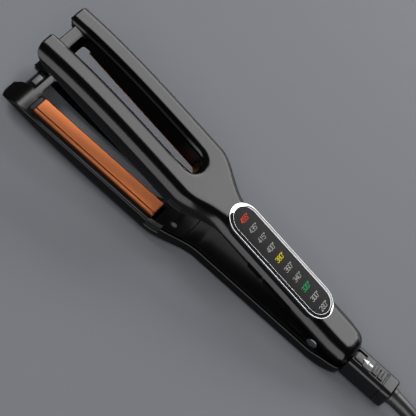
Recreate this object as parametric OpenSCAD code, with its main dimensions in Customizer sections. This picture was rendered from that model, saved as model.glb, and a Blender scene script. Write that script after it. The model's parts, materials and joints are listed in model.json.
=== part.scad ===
// Hair straightener with two forked arms and four heated plates.
// The lower arm lies on its outer face, the tail and cord point along +X,
// the near side is -Y. Every arm is drawn closed, with the plates meeting at
// z = 0, then lifted onto the floor; the upper arm is swung open at the hinge.

/* [Arms] */
// nose of the arm to the front end of the plates
nose_len = 22.2; // [21:0.1:25]
// back end of the plates to the start of the grip
waist_len = 35.4; // [33:0.1:40]
// grip, from the waist to the hinge
grip_len = 86.3; // [84:0.1:100]
// hinge to the back end of the arms
tail_len = 23; // [21:0.1:26]
// distance between the middles of the two prongs of an arm
prong_pitch = 32.8; // [31:0.1:36]
// rim between a plate and the slot
inner_margin = 2.2; // [2:0.1:3]
// rim between a plate and the outer side
outer_margin = 4.2; // [3.8:0.1:6]
// height of an arm at the nose, from the closing plane
nose_h = 9.9; // [9.5:0.1:11]
// height of an arm behind the plates
head_h = 16; // [15.5:0.1:18]
// height of the upper arm at the grip
grip_h = 12.6; // [12.4:0.1:14]
// height of the upper arm at its back end
tail_h = 10.1; // [9.9:0.1:11]
// height of the lower arm at its back end
lower_tail_h = 12.9; // [12.7:0.1:14]
// half width of the grip
grip_half = 14.5; // [14.3:0.1:17]
// half width of the arms at the back end
tail_half = 9.9; // [9.8:0.1:11]
// wall of the shells
wall = 1.8; // [1.6:0.1:2]
// roundness of the outer shoulders
shoulder = 6.5; // [4:0.1:7]
// roundness of the shoulders along the handle
grip_shoulder = 3.5; // [3:0.1:4]
// roundness of the nose corners seen from above
tip_round = 5; // [4:0.1:5.5]
// angle between the arms at rest
open_angle = 9.3; // [8:0.1:9.5]

/* [Plates] */
// length of a plate
plate_len = 95.4; // [90:0.1:110]
// width of a plate
plate_w = 12.4; // [12:0.1:14]
// thickness of a plate
plate_t = 3; // [2.6:0.1:3.2]
// how far a plate stands out of its rim
plate_proud = 2.1; // [1.6:0.1:2.3]
// how far a plate gives way
plate_travel = 0.9; // [0.5:0.1:1]
// seat beyond each end of a plate
seat_len = 2.7; // [2:0.1:3.5]
// thickness of a ceramic heater
heater_t = 1.3; // [1:0.1:1.5]
// thickness of a plate tray
tray_t = 1.6; // [1.4:0.1:1.8]
// thickness of the inner frames
frame_t = 3; // [2.6:0.1:3.2]

/* [Panel] */
// length of the chrome ring
ring_len = 87.3; // [84:0.1:88]
// width of the chrome ring
ring_w = 24; // [23:0.1:24.6]
// width of the band of the chrome ring
ring_band = 3.5; // [1.5:0.1:4]
// height of the ring above the shell
ring_proud = 1.9; // [0.6:0.1:2.4]
// depth of the panel's seat in the shell
panel_seat = 1.2; // [0.9:0.1:1.3]
// length across the line of marks of one temperature mark
mark_w = 8; // [6:0.1:9]
// height of one temperature mark
mark_h = 3.4; // [2.6:0.1:4]

/* [Hinge] */
// depth of the hinge axis below the closing plane
hinge_drop = 3.1; // [2.8:0.1:3.4]
// diameter of the hinge pin
pin_d = 4; // [3.6:0.1:4.2]
// diameter of the hinge barrel
barrel_d = 8; // [7.6:0.1:8.2]
// thickness of a hinge cheek
cheek_t = 3.4; // [3:0.1:3.6]
// length between the cheeks
barrel_len = 17.6; // [17:0.1:18.4]
// thickness of the heads of the pin
pin_head_t = 0.8; // [0.6:0.1:1]
// wire of the hinge spring
spring_wire = 1; // [0.8:0.1:1.1]

/* [Tail sleeve] */
// length of the sleeve behind the arms
sleeve_len = 25.4; // [25:0.1:30]
// length of the end collar
collar_len = 7.9; // [7:0.1:10]
// width of the sleeve
sleeve_w = 16.7; // [16.4:0.1:17]
// height of the sleeve
sleeve_h = 15.6; // [15.4:0.1:15.8]
// depth of the sleeve's middle below the closing plane
sleeve_drop = 4.5; // [4.4:0.1:4.6]
// wall of the sleeve
sleeve_wall = 2.6; // [2.5:0.1:3]
// length of the lock slider
slider_len = 22.5; // [21:0.1:23]
// width of the lock slider
slider_w = 9.4; // [8.6:0.1:9.8]
// travel of the lock slider
lock_travel = 5; // [3:0.1:5]

/* [Buttons] */
// length of a button
button_len = 7; // [6:0.1:8]
// width of a button
button_w = 5.2; // [4.6:0.1:5.4]
// how far a button stands out
button_proud = 1.2; // [0.9:0.1:1.3]
// travel of a button
button_travel = 0.6; // [0.3:0.1:0.7]

/* [Fits] */
// gap between parts that are fixed together
fit = 0.1; // [0.06:0.01:0.15]
// gap beside parts that slide
slide_gap = 0.25; // [0.2:0.01:0.35]
// gap round the hinge pin
pin_gap = 0.03; // [0.02:0.01:0.06]
// gap between the plates when the arms are closed
closed_gap = 0.2; // [0.1:0.01:0.4]

/* [Cord] */
// diameter of the cord
cord_d = 6.5; // [6:0.1:6.6]
// diameter of the strain relief at the collar
relief_d = 11.4; // [11:0.1:12]

/* [Hidden] */
overall = nose_len + plate_len + waist_len + grip_len + tail_len + fit * 4 + sleeve_len + collar_len;
x_tip = -overall / 2;
x_plate0 = x_tip + nose_len;
x_plate1 = x_plate0 + plate_len;
x_grip = x_plate1 + waist_len;
x_hinge = x_grip + grip_len;
x_tail = x_hinge + tail_len;
x_sleeve = x_tail + fit * 4;
x_collar = x_sleeve + sleeve_len;
x_end = x_collar + collar_len;

plate_y = prong_pitch / 2;
slot_half = plate_y - plate_w / 2 - inner_margin;
inner_wall = inner_margin - slide_gap;
head_half = plate_y + plate_w / 2 + outer_margin;
inner_shoulder = 4.5;
shoulder_share = 0.48;
rim_h = closed_gap / 2 + plate_proud;
base_h = head_h;

// slot between the prongs
x_rim0 = x_tip + 12.5;
x_slot0 = x_rim0 + 1.6;
slot_back = x_plate1 - 8.9;

// bridge between the prongs
bridge_len = 7.6;
bridge_x = x_rim0 - bridge_len - 0.2;
bridge_h = 8.1;

// inside of the shells
cavity_h = 10.5;
air_h = head_h - 2.8;
lower_cavity_h = head_h - 2;

// rim and cover heights at the grip
grip_rim = 5.5;
lower_grip_rim = 7.2;
cover_face = 4.3;
cover_fall = 1.5;
lower_cover_face = 5;
cover_t = 1.2;
x_seam = x_plate1 + 22.6;

$fn = 48;
// sides of small round pieces that stay out of sight
few = 12;

function smooth(t) = t <= 0 ? 0 : t >= 1 ? 1 : t * t * (3 - 2 * t);
function blend(a, b, t) = a + (b - a) * t;
function waist(x) = smooth((x - x_plate1) / waist_len);
function tail_part(x) = max(0, min(1, (x - x_hinge - 4) / (tail_len - 4)));

// half width of an arm along its length
function half_w(x) =
    x < x_hinge + 4
    ? blend(head_half, grip_half, waist(x))
    : tail_half + (grip_half - tail_half) * sqrt(1 - pow(tail_part(x), 2));

// outer height of the two arms along their length
function nose_curve(x) = 1 - pow(1 - (x - x_tip) / (x_plate1 - x_tip), 3.4);
function upper_top(x) =
    x < x_plate1 ? blend(nose_h, head_h, nose_curve(x))
    : x < x_hinge ? blend(head_h, grip_h, waist(x))
    : blend(grip_h, tail_h, pow((x - x_hinge) / tail_len, 2));
function lower_top(x) =
    x < x_plate1 ? blend(nose_h, head_h, nose_curve(x))
    : x < x_hinge ? head_h
    : blend(head_h, lower_tail_h, pow((x - x_hinge) / tail_len, 2));

// lower edge of the shells
function upper_rim(x) = blend(rim_h, grip_rim, waist(x));
function lower_rim(x) =
    x < x_hinge ? blend(rim_h, lower_grip_rim, waist(x))
    : blend(lower_grip_rim, cover_face + 0.8, smooth((x - x_hinge) / 12));

// faces of the inner frames and covers
function upper_face(x) =
    blend(rim_h, cover_face, waist(x)) - cover_fall * max(0, (x - x_grip) / grip_len);
function lower_face(x) = blend(rim_h, lower_cover_face, waist(x));

// lower edge of the nose, which slopes back to the rim
function nose_low(x) =
    x >= x_rim0 ? rim_h : blend(nose_h - 2, rim_h, pow((x - x_tip) / (x_rim0 - x_tip), 0.8));

function steps(a, b, n) = [for (i = [0 : n]) a + (b - a) * i / n];
function corner(y, z, r, a0, a1, n) = [for (i = [0 : n]) let (a = a0 + (a1 - a0) * i / n)
    [y + r * cos(a), z + r * sin(a)]];

// rounded rectangle with its own top and bottom corner radii
function round_box(w, h, top_r, low_r) = concat(
    corner(w / 2 - low_r, low_r - h / 2, low_r, -90, 0, 6),
    corner(w / 2 - top_r, h / 2 - top_r, top_r, 0, 90, 6),
    corner(top_r - w / 2, h / 2 - top_r, top_r, 90, 180, 6),
    corner(low_r - w / 2, low_r - h / 2, low_r, 180, 270, 6));

// solid through a list of rings with equal numbers of points
module loft(rings) {
    n = len(rings[0]);
    m = len(rings);
    sides = [for (i = [0 : m - 2]) for (j = [0 : n - 1]) each [
        [i * n + j, (i + 1) * n + (j + 1) % n, i * n + (j + 1) % n],
        [i * n + j, (i + 1) * n + j, (i + 1) * n + (j + 1) % n]]];
    caps = [[for (j = [0 : n - 1]) j], [for (j = [n - 1 : -1 : 0]) (m - 1) * n + j]];
    polyhedron(points = [for (r = rings) each r], faces = concat(sides, caps), convexity = 8);
}

// tube swept along points, with a radius for each point and a direction for each end
along = [1, 0, 0];
function unit(v) = v / norm(v);
function path_dir(p, i) = unit(p[min(i + 1, len(p) - 1)] - p[max(i - 1, 0)]);
function tube_ring(at, d, r, n) =
    let (s = unit(cross(d, [0, 0, 1])), u = cross(s, d))
    [for (k = [0 : n - 1]) let (a = 360 * (k + 0.5) / n) at + r * (cos(a) * s + sin(a) * u)];
module sweep(p, radii, n, start = along, end = along) {
    last = len(p) - 1;
    loft([for (i = [0 : last])
        tube_ring(p[i], i == 0 ? start : i == last ? end : path_dir(p, i), radii[i], n)]);
}

// places for the two arms
module lower_arm() {
    translate([0, 0, base_h])
        mirror([0, 0, 1])
            children();
}
module upper_arm() {
    translate([x_hinge, 0, base_h - hinge_drop])
        rotate([0, open_angle, 0])
            translate([-x_hinge, 0, hinge_drop])
                children();
}
module both_sides() {
    children();
    mirror([0, 1, 0])
        children();
}

// plan of an arm, drawn in by an inset
module arm_plan(x0, x1, inset, n = 44) {
    xs = steps(x0, x1, n);
    polygon(concat(
        [for (x = xs) [x, half_w(x) - inset]],
        [for (i = [len(xs) - 1 : -1 : 0]) [xs[i], inset - half_w(xs[i])]]));
}

// slab between two heights that follow the length
module side_slab(xs, low, high) {
    rotate([90, 0, 0])
        linear_extrude(4 * head_half, center = true)
            polygon(concat(
                [for (i = [0 : len(xs) - 1]) [xs[i], low[i]]],
                [for (i = [len(xs) - 1 : -1 : 0]) [xs[i], high[i]]]));
}

// ring of one prong: outer wall, shoulders and inner wall
function prong_tuck(x) =
    x < x_tip + tip_round ? tip_round - sqrt(tip_round * tip_round - pow(tip_round - (x - x_tip), 2)) : 0;
function prong_ring(x, top) =
    let (
        low = nose_low(x),
        r = min(shoulder, 0.8 * (top - low), shoulder_share * (top - rim_h)),
        q = min(inner_shoulder, 0.8 * (top - low)),
        yo = head_half - prong_tuck(x),
        yi = slot_half + prong_tuck(x))
    [for (p = concat(
        [[yo, low]],
        corner(yo - r, top - r, r, 0, 90, 5),
        corner(yi + q, top - q, q, 90, 180, 4),
        [[yi, low]])) [x, p[0], p[1]]];

// ring of the arm behind the slot
function body_ring(x, top, low) =
    let (w = half_w(x), r = blend(shoulder, grip_shoulder, waist(x)))
    [for (p = concat(
        [[w, low]],
        corner(w - r, top - r, r, 0, 90, 5),
        corner(r - w, top - r, r, 90, 180, 5),
        [[-w, low]])) [x, p[0], p[1]]];

nose_steps = [0, 0.6, 1.6, 3, 5, 8, 12.5, 18, 26, 38, 56, 80];
prong_xs = concat([for (s = nose_steps) x_tip + s], [slot_back]);
body_xs = concat([slot_back, x_plate1], steps(x_plate1 + 2.4, x_grip, 12),
    [x_hinge - 40, x_hinge], steps(x_hinge + 4, x_tail, 9));

// slot with a rounded back end and a softened upper edge
module slot_cut() {
    translate([x_slot0, -slot_half, -1])
        cube([slot_back - x_slot0, 2 * slot_half, head_h + 4]);
    translate([slot_back, 0, -1])
        cylinder(h = head_h + 4, r = slot_half);
    translate([slot_back, 0, head_h - inner_shoulder])
        rotate_extrude()
            polygon(concat(
                [[0, 0]],
                [for (a = [180 : -15 : 90]) [slot_half + inner_shoulder + inner_shoulder * cos(a),
                    inner_shoulder * sin(a)]],
                [[slot_half + inner_shoulder, inner_shoulder + 1], [0, inner_shoulder + 1]]));
}

// bridge at the nose, with slanted ends
module bridge() {
    rotate([90, 0, 0])
        linear_extrude(2 * slot_half + 2, center = true)
            polygon([
                [x_rim0 - 1, rim_h],
                [x_slot0, rim_h],
                [x_slot0 - 1.6, bridge_h],
                [bridge_x, bridge_h],
                [bridge_x + 2.4, rim_h + 2.6],
                [x_rim0 - 1, rim_h + 2.6]]);
}

// band in the side walls at the back of the plates, for the vents
vent_x = x_plate1 - 1;
vent_len = 9.6;
vent_top = 6.4;
vent_depth = 3.3;
vent_sink = 0.7;
louvre_pitch = 1.4;
louvre_w = 0.7;
louvre_depth = 1.3;
module vent_band(grow, outer) {
    linear_extrude(vent_top + grow)
        difference() {
            arm_plan(vent_x - grow, vent_x + vent_len + grow, outer, 8);
            arm_plan(vent_x - grow - 1, vent_x + vent_len + grow + 1, vent_depth + grow, 8);
        }
}

// screw posts behind the inner frame
screw_x = x_plate1 + 12.7;
screw_y = 13.8;
screw_d = 2.6;
post_d = screw_d + 3.4;
screw_head_d = 4.2;
screw_head_t = 1.6;
screw_sink = 0.8;

// shared shape of the outer shells
prong_space = head_half - slot_half - wall - inner_wall;
module shell(tops, rims, deep, tail_deep) {
    prong_tops = tops[0];
    difference() {
        union() {
            both_sides()
                loft([for (i = [0 : len(prong_xs) - 1]) prong_ring(prong_xs[i], prong_tops[i])]);
            loft([for (i = [0 : len(body_xs) - 1]) body_ring(body_xs[i], tops[1][i], rims[i])]);
            bridge();
        }
        slot_cut();
        // space for the plates and their trays, lower at the front
        both_sides() {
            translate([x_rim0 + 2, slot_half + inner_wall, -1])
                cube([slot_back - x_rim0, prong_space, rim_h + frame_t + fit + 1]);
            translate([x_plate0 + 1, slot_half + inner_wall, -1])
                cube([slot_back - x_plate0 + 1, prong_space, cavity_h + 1]);
        }
        both_sides()
            translate([x_plate0 + 26, slot_half + wall + 1.6, -1])
                cube([plate_len - 52, head_half - slot_half - 2 * wall - 3.6, air_h + 1]);
        // space behind the slot
        difference() {
            translate([0, 0, -1])
                linear_extrude(cavity_h + 1)
                    arm_plan(slot_back, x_seam + 8, wall);
            translate([slot_back, 0, -2])
                cylinder(h = cavity_h + 4, r = slot_half + inner_wall);
            both_sides()
                translate([screw_x, screw_y, -2])
                    cylinder(h = cavity_h + 4, d = post_d, $fn = few);
        }
        translate([0, 0, -1])
            linear_extrude(deep + 1)
                arm_plan(x_seam, x_hinge + 2, wall);
        translate([0, 0, -1])
            linear_extrude(tail_deep + 1)
                arm_plan(x_hinge, x_tail - wall - 0.6, wall, 16);
        // screw posts stop at the back of the frame and are bored
        both_sides()
            translate([screw_x, screw_y, -2])
                cylinder(h = lower_face(screw_x + post_d) + frame_t + 2 + fit, d = post_d + 0.8, $fn = few);
        both_sides()
            translate([screw_x, screw_y, 0])
                cylinder(h = cavity_h + 1.5, d = screw_d, $fn = few);
        vent_band(fit, -2);
    }
}

// inner frame round the plates, up to the seam
module frame(face) {
    xs = steps(x_rim0 + 2 + fit, x_seam, 40);
    difference() {
        intersection() {
            difference() {
                linear_extrude(head_h)
                    arm_plan(x_rim0 + 2 + fit, x_seam, wall + fit);
                translate([x_rim0, -slot_half - inner_wall - fit, -1])
                    cube([slot_back - x_rim0, 2 * (slot_half + inner_wall + fit), head_h]);
                translate([slot_back, 0, -1])
                    cylinder(h = head_h, r = slot_half + inner_wall + fit);
            }
            side_slab(xs, [for (i = [0 : 40]) face[i]], [for (i = [0 : 40]) face[i] + frame_t]);
        }
        // openings for the plates, with lower seats past their ends
        both_sides() {
            translate([x_plate0 - slide_gap, plate_y - plate_w / 2 - slide_gap - 1, -1])
                cube([plate_len + 2 * slide_gap, plate_w + 2 * slide_gap + 1, head_h]);
            translate([x_plate0 - seat_len, plate_y - plate_w / 2 - slide_gap, -1])
                cube([plate_len + 2 * seat_len, plate_w + 2 * slide_gap, rim_h + 2.6]);
            translate([screw_x, screw_y, -1])
                cylinder(h = head_h, d = screw_d + 2 * fit, $fn = few);
            translate([screw_x, screw_y, -1])
                cylinder(h = lower_face(screw_x) + screw_sink + screw_head_t + 1, d = screw_head_d + 2 * fit);
        }
        vent_band(fit, -2);
    }
}
frame_xs = steps(x_rim0 + 2 + fit, x_seam, 40);

// two screws of a frame
module frame_screws() {
    both_sides()
        translate([screw_x, screw_y, lower_face(screw_x) + screw_sink]) {
            difference() {
                cylinder(h = screw_head_t, d = screw_head_d);
                translate([-0.3, -1.4, -1])
                    cube([0.6, 2.8, 1.6]);
                translate([-1.4, -0.3, -1])
                    cube([2.8, 0.6, 1.6]);
            }
            cylinder(h = 7, d = screw_d - 2 * pin_gap, $fn = few);
        }
}

// louvred inserts in the side walls
module vents() {
    difference() {
        vent_band(0, vent_sink);
        translate([vent_x - 1, -head_half, -1])
            cube([vent_len + 2, 2 * head_half, rim_h + 1]);
        both_sides()
            for (i = [0 : 5])
                let (x = vent_x + 0.9 + i * louvre_pitch)
                    translate([x, half_w(x) - vent_sink - louvre_depth, rim_h + 0.8])
                        cube([louvre_w, 5, vent_top - rim_h - 1.6]);
    }
}

// one plate, drawn for the far prong of the upper arm
plate_z = closed_gap / 2;
module plate() {
    r = 1.3;
    translate([x_plate0, plate_y, plate_z])
        rotate([90, 0, 90])
            linear_extrude(plate_len)
                polygon(concat(
                    corner(plate_w / 2 - r, r, r, -90, 0, 4),
                    [[plate_w / 2, plate_t], [-plate_w / 2, plate_t]],
                    corner(r - plate_w / 2, r, r, 180, 270, 4)));
}
heater_z = plate_z + plate_t;
module heater() {
    translate([x_plate0 + 12, plate_y - plate_w / 2 + 2, heater_z])
        cube([plate_len - 24, plate_w - 4, heater_t]);
}
tray_z = heater_z + heater_t;
module tray() {
    difference() {
        translate([x_plate0 + 2, plate_y - plate_w / 2 + 0.6, heater_z])
            cube([plate_len - 4, plate_w - 1.2, heater_t + tray_t]);
        translate([x_plate0 + 12 - fit, plate_y - plate_w / 2 + 2 - fit, heater_z - 1])
            cube([plate_len - 24 + 2 * fit, plate_w - 4 + 2 * fit, heater_t + 1]);
    }
}
cushion_z = tray_z + tray_t;
cushion_d = 6;
module cushions() {
    for (x = [x_plate0 + 13, x_plate1 - 13])
        translate([x, plate_y, cushion_z])
            cylinder(h = cavity_h - cushion_z, d = cushion_d, $fn = few);
}

// handle covers, with a lip that shows below the shell
module cover(x1, face, rims) {
    xs = steps(x_seam + fit, x1, 30);
    intersection() {
        linear_extrude(head_h)
            arm_plan(x_seam + fit, x1, wall + fit);
        side_slab(xs, face, [for (i = [0 : 30]) rims[i] + cover_t]);
    }
    intersection() {
        linear_extrude(head_h)
            arm_plan(x_seam + fit, x1, 0.6);
        side_slab(xs, face, [for (i = [0 : 30]) max(face[i] + 0.05, rims[i] - fit)]);
    }
}

// stadium along the length, for the panel
module stadium(x0, x1, w, z, h) {
    translate([0, 0, z]) {
        translate([x0 + w / 2, -w / 2, 0])
            cube([x1 - x0 - w, w, h]);
        translate([x0 + w / 2, 0, 0])
            cylinder(h = h, d = w, $fn = 96);
        translate([x1 - w / 2, 0, 0])
            cylinder(h = h, d = w, $fn = 96);
    }
}
ring_x0 = x_grip - 7.1;
ring_x1 = ring_x0 + ring_len;
panel_z = grip_h - panel_seat;

module lower_shell() {
    color("#131314")
        lower_arm()
            difference() {
                shell(
                    [[for (x = prong_xs) lower_top(x)], [for (x = body_xs) lower_top(x)]],
                    [for (x = body_xs) lower_rim(x)],
                    lower_cavity_h - 1.4,
                    lower_tail_h - wall);
                // opening for the neck of the sleeve
                translate([x_hinge + 6, -neck_w / 2 - fit, -2])
                    cube([tail_len, neck_w + 2 * fit, sleeve_drop + sleeve_h / 2 - neck_rise + 2 + fit]);
            }
}
module lower_inner_frame() {
    color("#232325")
        lower_arm()
            frame([for (x = frame_xs) lower_face(x)]);
}
module lower_vents() {
    color("#2b2b2d")
        lower_arm()
            vents();
}
module lower_frame_screws() {
    color("#6d6f72")
        lower_arm()
            frame_screws();
}

// hinge cheeks stand on the lower cover
cheek_y = barrel_len / 2 + slide_gap;
pin_head_d = barrel_d - 0.6;
x_cover1 = x_hinge + 5.6;
module lower_handle_cover() {
    cover_xs = steps(x_seam + fit, x_cover1, 30);
    color("#1b1b1d")
        lower_arm() {
            difference() {
                union() {
                    cover(x_cover1, [for (x = cover_xs) lower_face(x)], [for (x = cover_xs) lower_rim(x)]);
                    both_sides() {
                        translate([x_hinge, cheek_y, hinge_drop])
                            rotate([-90, 0, 0])
                                cylinder(h = cheek_t, d = barrel_d);
                        translate([x_hinge - barrel_d, cheek_y, hinge_drop - 1])
                            cube([barrel_d * 1.5, cheek_t, lower_cover_face - hinge_drop + 1.5]);
                    }
                    // lead duct in front of the cheeks
                    both_sides()
                        translate([x_hinge - 20.4, cheek_y + 0.6, lower_cover_face - 2.6])
                            cube([12.4, cheek_t - 0.8, 3]);
                }
                translate([x_hinge, 0, hinge_drop])
                    rotate([90, 0, 0])
                        cylinder(h = 60, d = pin_d + 2 * pin_gap, center = true);
                // room for the knuckle and the spring, and for the heads of the pin
                translate([x_hinge, 0, hinge_drop])
                    rotate([90, 0, 0])
                        cylinder(h = 2 * cheek_y, d = barrel_d + 0.6, center = true);
                both_sides()
                    translate([x_hinge, cheek_y + cheek_t, hinge_drop])
                        rotate([-90, 0, 0])
                            cylinder(h = 10, d = pin_head_d + 2 * fit);
                // groove for the lower leg of the spring
                translate([x_hinge - leg_len - 0.4, coil_y1 - spring_wire / 2 - 0.2, 0])
                    cube([leg_len, spring_wire + 0.4, hinge_drop + coil_r + spring_wire / 2 + fit]);
            }
        }
}
module lower_plate_near() {
    color("#c67044")
        lower_arm()
            mirror([0, 1, 0])
                plate();
}
module lower_plate_far() {
    color("#c67044")
        lower_arm()
            plate();
}
module lower_heater_near() {
    color("#e8e4da")
        lower_arm()
            mirror([0, 1, 0])
                heater();
}
module lower_heater_far() {
    color("#e8e4da")
        lower_arm()
            heater();
}
module lower_tray_near() {
    color("#3a3a3d")
        lower_arm()
            mirror([0, 1, 0])
                tray();
}
module lower_tray_far() {
    color("#3a3a3d")
        lower_arm()
            tray();
}
module lower_cushions_near() {
    color("#7a4a42")
        lower_arm()
            mirror([0, 1, 0])
                cushions();
}
module lower_cushions_far() {
    color("#7a4a42")
        lower_arm()
            cushions();
}

// raised tab that guides the noses together
tab_len = 3.7;
tab_w = 8.4;
tab_rise = 0.9;
module locating_tab() {
    color("#39393c")
        lower_arm()
            translate([bridge_x + 2.7, -tab_w / 2, rim_h + 2.6 - tab_rise])
                cube([tab_len, tab_w, tab_rise]);
}

module upper_shell() {
    color("#131314")
        upper_arm()
            difference() {
                shell(
                    [[for (x = prong_xs) upper_top(x)], [for (x = body_xs) upper_top(x)]],
                    [for (x = body_xs) upper_rim(x)],
                    cavity_h,
                    tail_h - wall);
                stadium(ring_x0 - fit, ring_x1 + fit, ring_w + 2 * fit, panel_z, 4);
                // ways for the light below the panel
                for (i = [0 : 9])
                    translate([mark_x0 + i * mark_pitch - 1, mark_y - 1, cavity_h - 1])
                        cube([2, 2, 3]);
                // arch over the sleeve
                translate([x_hinge + 12, -sleeve_w / 2 - 0.6, -2])
                    cube([tail_len, sleeve_w + 1.2, tail_h - wall + 2]);
            }
}
module upper_inner_frame() {
    color("#232325")
        upper_arm()
            frame([for (x = frame_xs) upper_face(x)]);
}
module upper_vents() {
    color("#2b2b2d")
        upper_arm()
            vents();
}
module upper_frame_screws() {
    color("#6d6f72")
        upper_arm()
            frame_screws();
}

// buttons stand in open pockets at the near edge of the upper cover; their
// stems and flanges stay inside the shell
button_out = grip_half - 0.9;
button_in = button_out - button_w;
stem_out = grip_half - wall - slide_gap - 0.05;
power_x = x_grip + 29.5;
minus_x = power_x + 13.4;
plus_x = minus_x + 11.6;
x_cover2 = x_hinge + 11.6;
flange_t = 0.6;
flange_reach = 0.8;
function under_cover(x) = upper_rim(x) + cover_t;
function cap_top(x) = upper_rim(x) - 2 * fit - button_travel;
module button_pocket(x) {
    translate([x - button_len / 2 - slide_gap, -grip_half - 1, -2])
        cube([button_len + 2 * slide_gap, grip_half + 1 - button_in + slide_gap, head_h]);
}
module upper_handle_cover() {
    cover_xs = steps(x_seam + fit, x_cover2, 30);
    color("#1b1b1d")
        upper_arm()
            difference() {
                union() {
                    cover(x_cover2, [for (x = cover_xs) upper_face(x)], [for (x = cover_xs) upper_rim(x)]);
                    translate([x_hinge, -barrel_len / 2, -hinge_drop])
                        rotate([-90, 0, 0])
                            cylinder(h = barrel_len * 0.62, d = barrel_d);
                    translate([x_hinge - 3, -barrel_len / 2, 0.2 - hinge_drop])
                        cube([6, barrel_len * 0.62, upper_face(x_hinge) + hinge_drop]);
                }
                translate([x_hinge, 0, -hinge_drop])
                    rotate([90, 0, 0])
                        cylinder(h = 60, d = pin_d + 2 * pin_gap, center = true);
                button_pocket(power_x);
                button_pocket(minus_x);
                button_pocket(plus_x);
            }
}
module button(x) {
    face = upper_face(x) - button_proud;
    color("#3b3b3e")
        upper_arm() {
            translate([x - button_len / 2, -button_out, face])
                cube([button_len, button_w, cap_top(x) - face]);
            translate([x - button_len / 2, -stem_out, face + 1])
                cube([button_len, stem_out - button_in, under_cover(x) + fit + flange_t - face - 1]);
            translate([x - button_len / 2 - flange_reach, -stem_out, under_cover(x) + fit])
                cube([button_len + 2 * flange_reach, stem_out - button_in, flange_t]);
        }
}
module power_button() {
    button(power_x);
}
module minus_button() {
    button(minus_x);
}
module plus_button() {
    button(plus_x);
}

// circuit board with its switches and lights
board_t = 1;
board_z = cavity_h - board_t - 0.6;
board_x0 = x_grip - 2;
module circuit_board() {
    color("#1f5a36")
        upper_arm()
            translate([board_x0, -grip_half + wall + 1, board_z])
                cube([x_hinge - 6 - board_x0, 2 * (grip_half - wall - 1), board_t]);
}
switch_w = 3.2;
function switch_z(x) = under_cover(x) + fit + flange_t + button_travel + 0.05;
module button_switches() {
    color("#8d8f92")
        upper_arm()
            for (x = [power_x, minus_x, plus_x])
                translate([x - switch_w / 2, -button_in - switch_w, switch_z(x)])
                    cube([switch_w, switch_w, board_z - switch_z(x)]);
}
mark_pitch = (ring_len - 16.6) / 9;
mark_x0 = ring_x0 + 10;
mark_y = -0.4;
module indicator_lights() {
    color("#e9e3b4")
        upper_arm()
            for (i = [0 : 9])
                translate([mark_x0 + i * mark_pitch - 0.8, mark_y - 0.8, board_z + board_t])
                    cube([1.6, 1.6, 0.5]);
}
module temperature_marks() {
    color("#d8d8d8")
        upper_arm()
            for (i = [0 : 9])
                translate([mark_x0 + i * mark_pitch - mark_h / 2, mark_y - mark_w / 2, panel_z + window_t])
                    cube([mark_h, mark_w, 0.15]);
}

// panel window inside its chrome ring
window_t = panel_seat + ring_proud - 0.3;
module panel_window() {
    color("#2f2f31")
        upper_arm()
            stadium(ring_x0 + ring_band + fit, ring_x1 - ring_band - fit,
                ring_w - 2 * ring_band - 2 * fit, panel_z, window_t);
}
module panel_ring() {
    color("#d9dadd")
        upper_arm()
            difference() {
                stadium(ring_x0, ring_x1, ring_w, panel_z, panel_seat + ring_proud);
                stadium(ring_x0 + ring_band, ring_x1 - ring_band, ring_w - 2 * ring_band, panel_z - 1, 6);
            }
}

module upper_plate_near() {
    color("#c67044")
        upper_arm()
            mirror([0, 1, 0])
                plate();
}
module upper_plate_far() {
    color("#c67044")
        upper_arm()
            plate();
}
module upper_heater_near() {
    color("#e8e4da")
        upper_arm()
            mirror([0, 1, 0])
                heater();
}
module upper_heater_far() {
    color("#e8e4da")
        upper_arm()
            heater();
}
module upper_tray_near() {
    color("#3a3a3d")
        upper_arm()
            mirror([0, 1, 0])
                tray();
}
module upper_tray_far() {
    color("#3a3a3d")
        upper_arm()
            tray();
}
module upper_cushions_near() {
    color("#7a4a42")
        upper_arm()
            mirror([0, 1, 0])
                cushions();
}
module upper_cushions_far() {
    color("#7a4a42")
        upper_arm()
            cushions();
}

// pin through both cheeks and the knuckle, with a round head on each end
module hinge_pin() {
    pin_half = cheek_y + cheek_t;
    color("#8b8d90")
        translate([x_hinge, 0, base_h - hinge_drop])
            rotate([90, 0, 0]) {
                cylinder(h = 2 * pin_half + 2 * fit, d = pin_d, center = true);
                for (s = [-1, 1])
                    translate([0, 0, s * (pin_half + fit + pin_head_t / 2)])
                        cylinder(h = pin_head_t, d = pin_head_d, center = true);
            }
}

// torsion spring beside the knuckle: its upper leg reaches the upper cover and
// its lower leg lies in the groove of the lower cover
coil_turns = 4;
coil_y0 = barrel_len * 0.12 + 0.9;
coil_y1 = barrel_len / 2 - 0.9;
coil_r = pin_d / 2 + spring_wire / 2 + 0.35;
leg_len = 9.5;
leg_reach = (upper_face(x_hinge - 7.4) + hinge_drop) * cos(open_angle) + 7.4 * sin(open_angle)
    - spring_wire / 2 - 0.15;
leg_turn = atan2(leg_len, coil_r) - acos(leg_reach / norm([leg_len, coil_r]));
leg_dir = [-cos(leg_turn), 0, sin(leg_turn)];
coil_pts = [for (i = [0 : 72]) let (t = i / 72, a = blend(90 - leg_turn, -90 - 360 * coil_turns, t))
    [x_hinge + coil_r * cos(a), blend(coil_y0, coil_y1, t), base_h - hinge_drop + coil_r * sin(a)]];
function wire_ring(p, i, r, n) =
    let (d = path_dir(p, i), s = unit(cross(d, [0, 1, 0])), u = cross(s, d))
    [for (k = [0 : n - 1]) let (a = 360 * (k + 0.5) / n) p[i] + r * (cos(a) * s + sin(a) * u)];
module hinge_spring() {
    leg0 = coil_pts[0];
    leg1 = coil_pts[72];
    pts = concat(
        [leg0 + leg_len * leg_dir, leg0 + 1.6 * leg_dir],
        coil_pts,
        [leg1 + [-1.6, 0, 0], leg1 + [-leg_len + 1, 0, 0]]);
    color("#a9abad")
        loft([for (i = [0 : len(pts) - 1]) wire_ring(pts, i, spring_wire / 2, 6)]);
}

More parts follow.
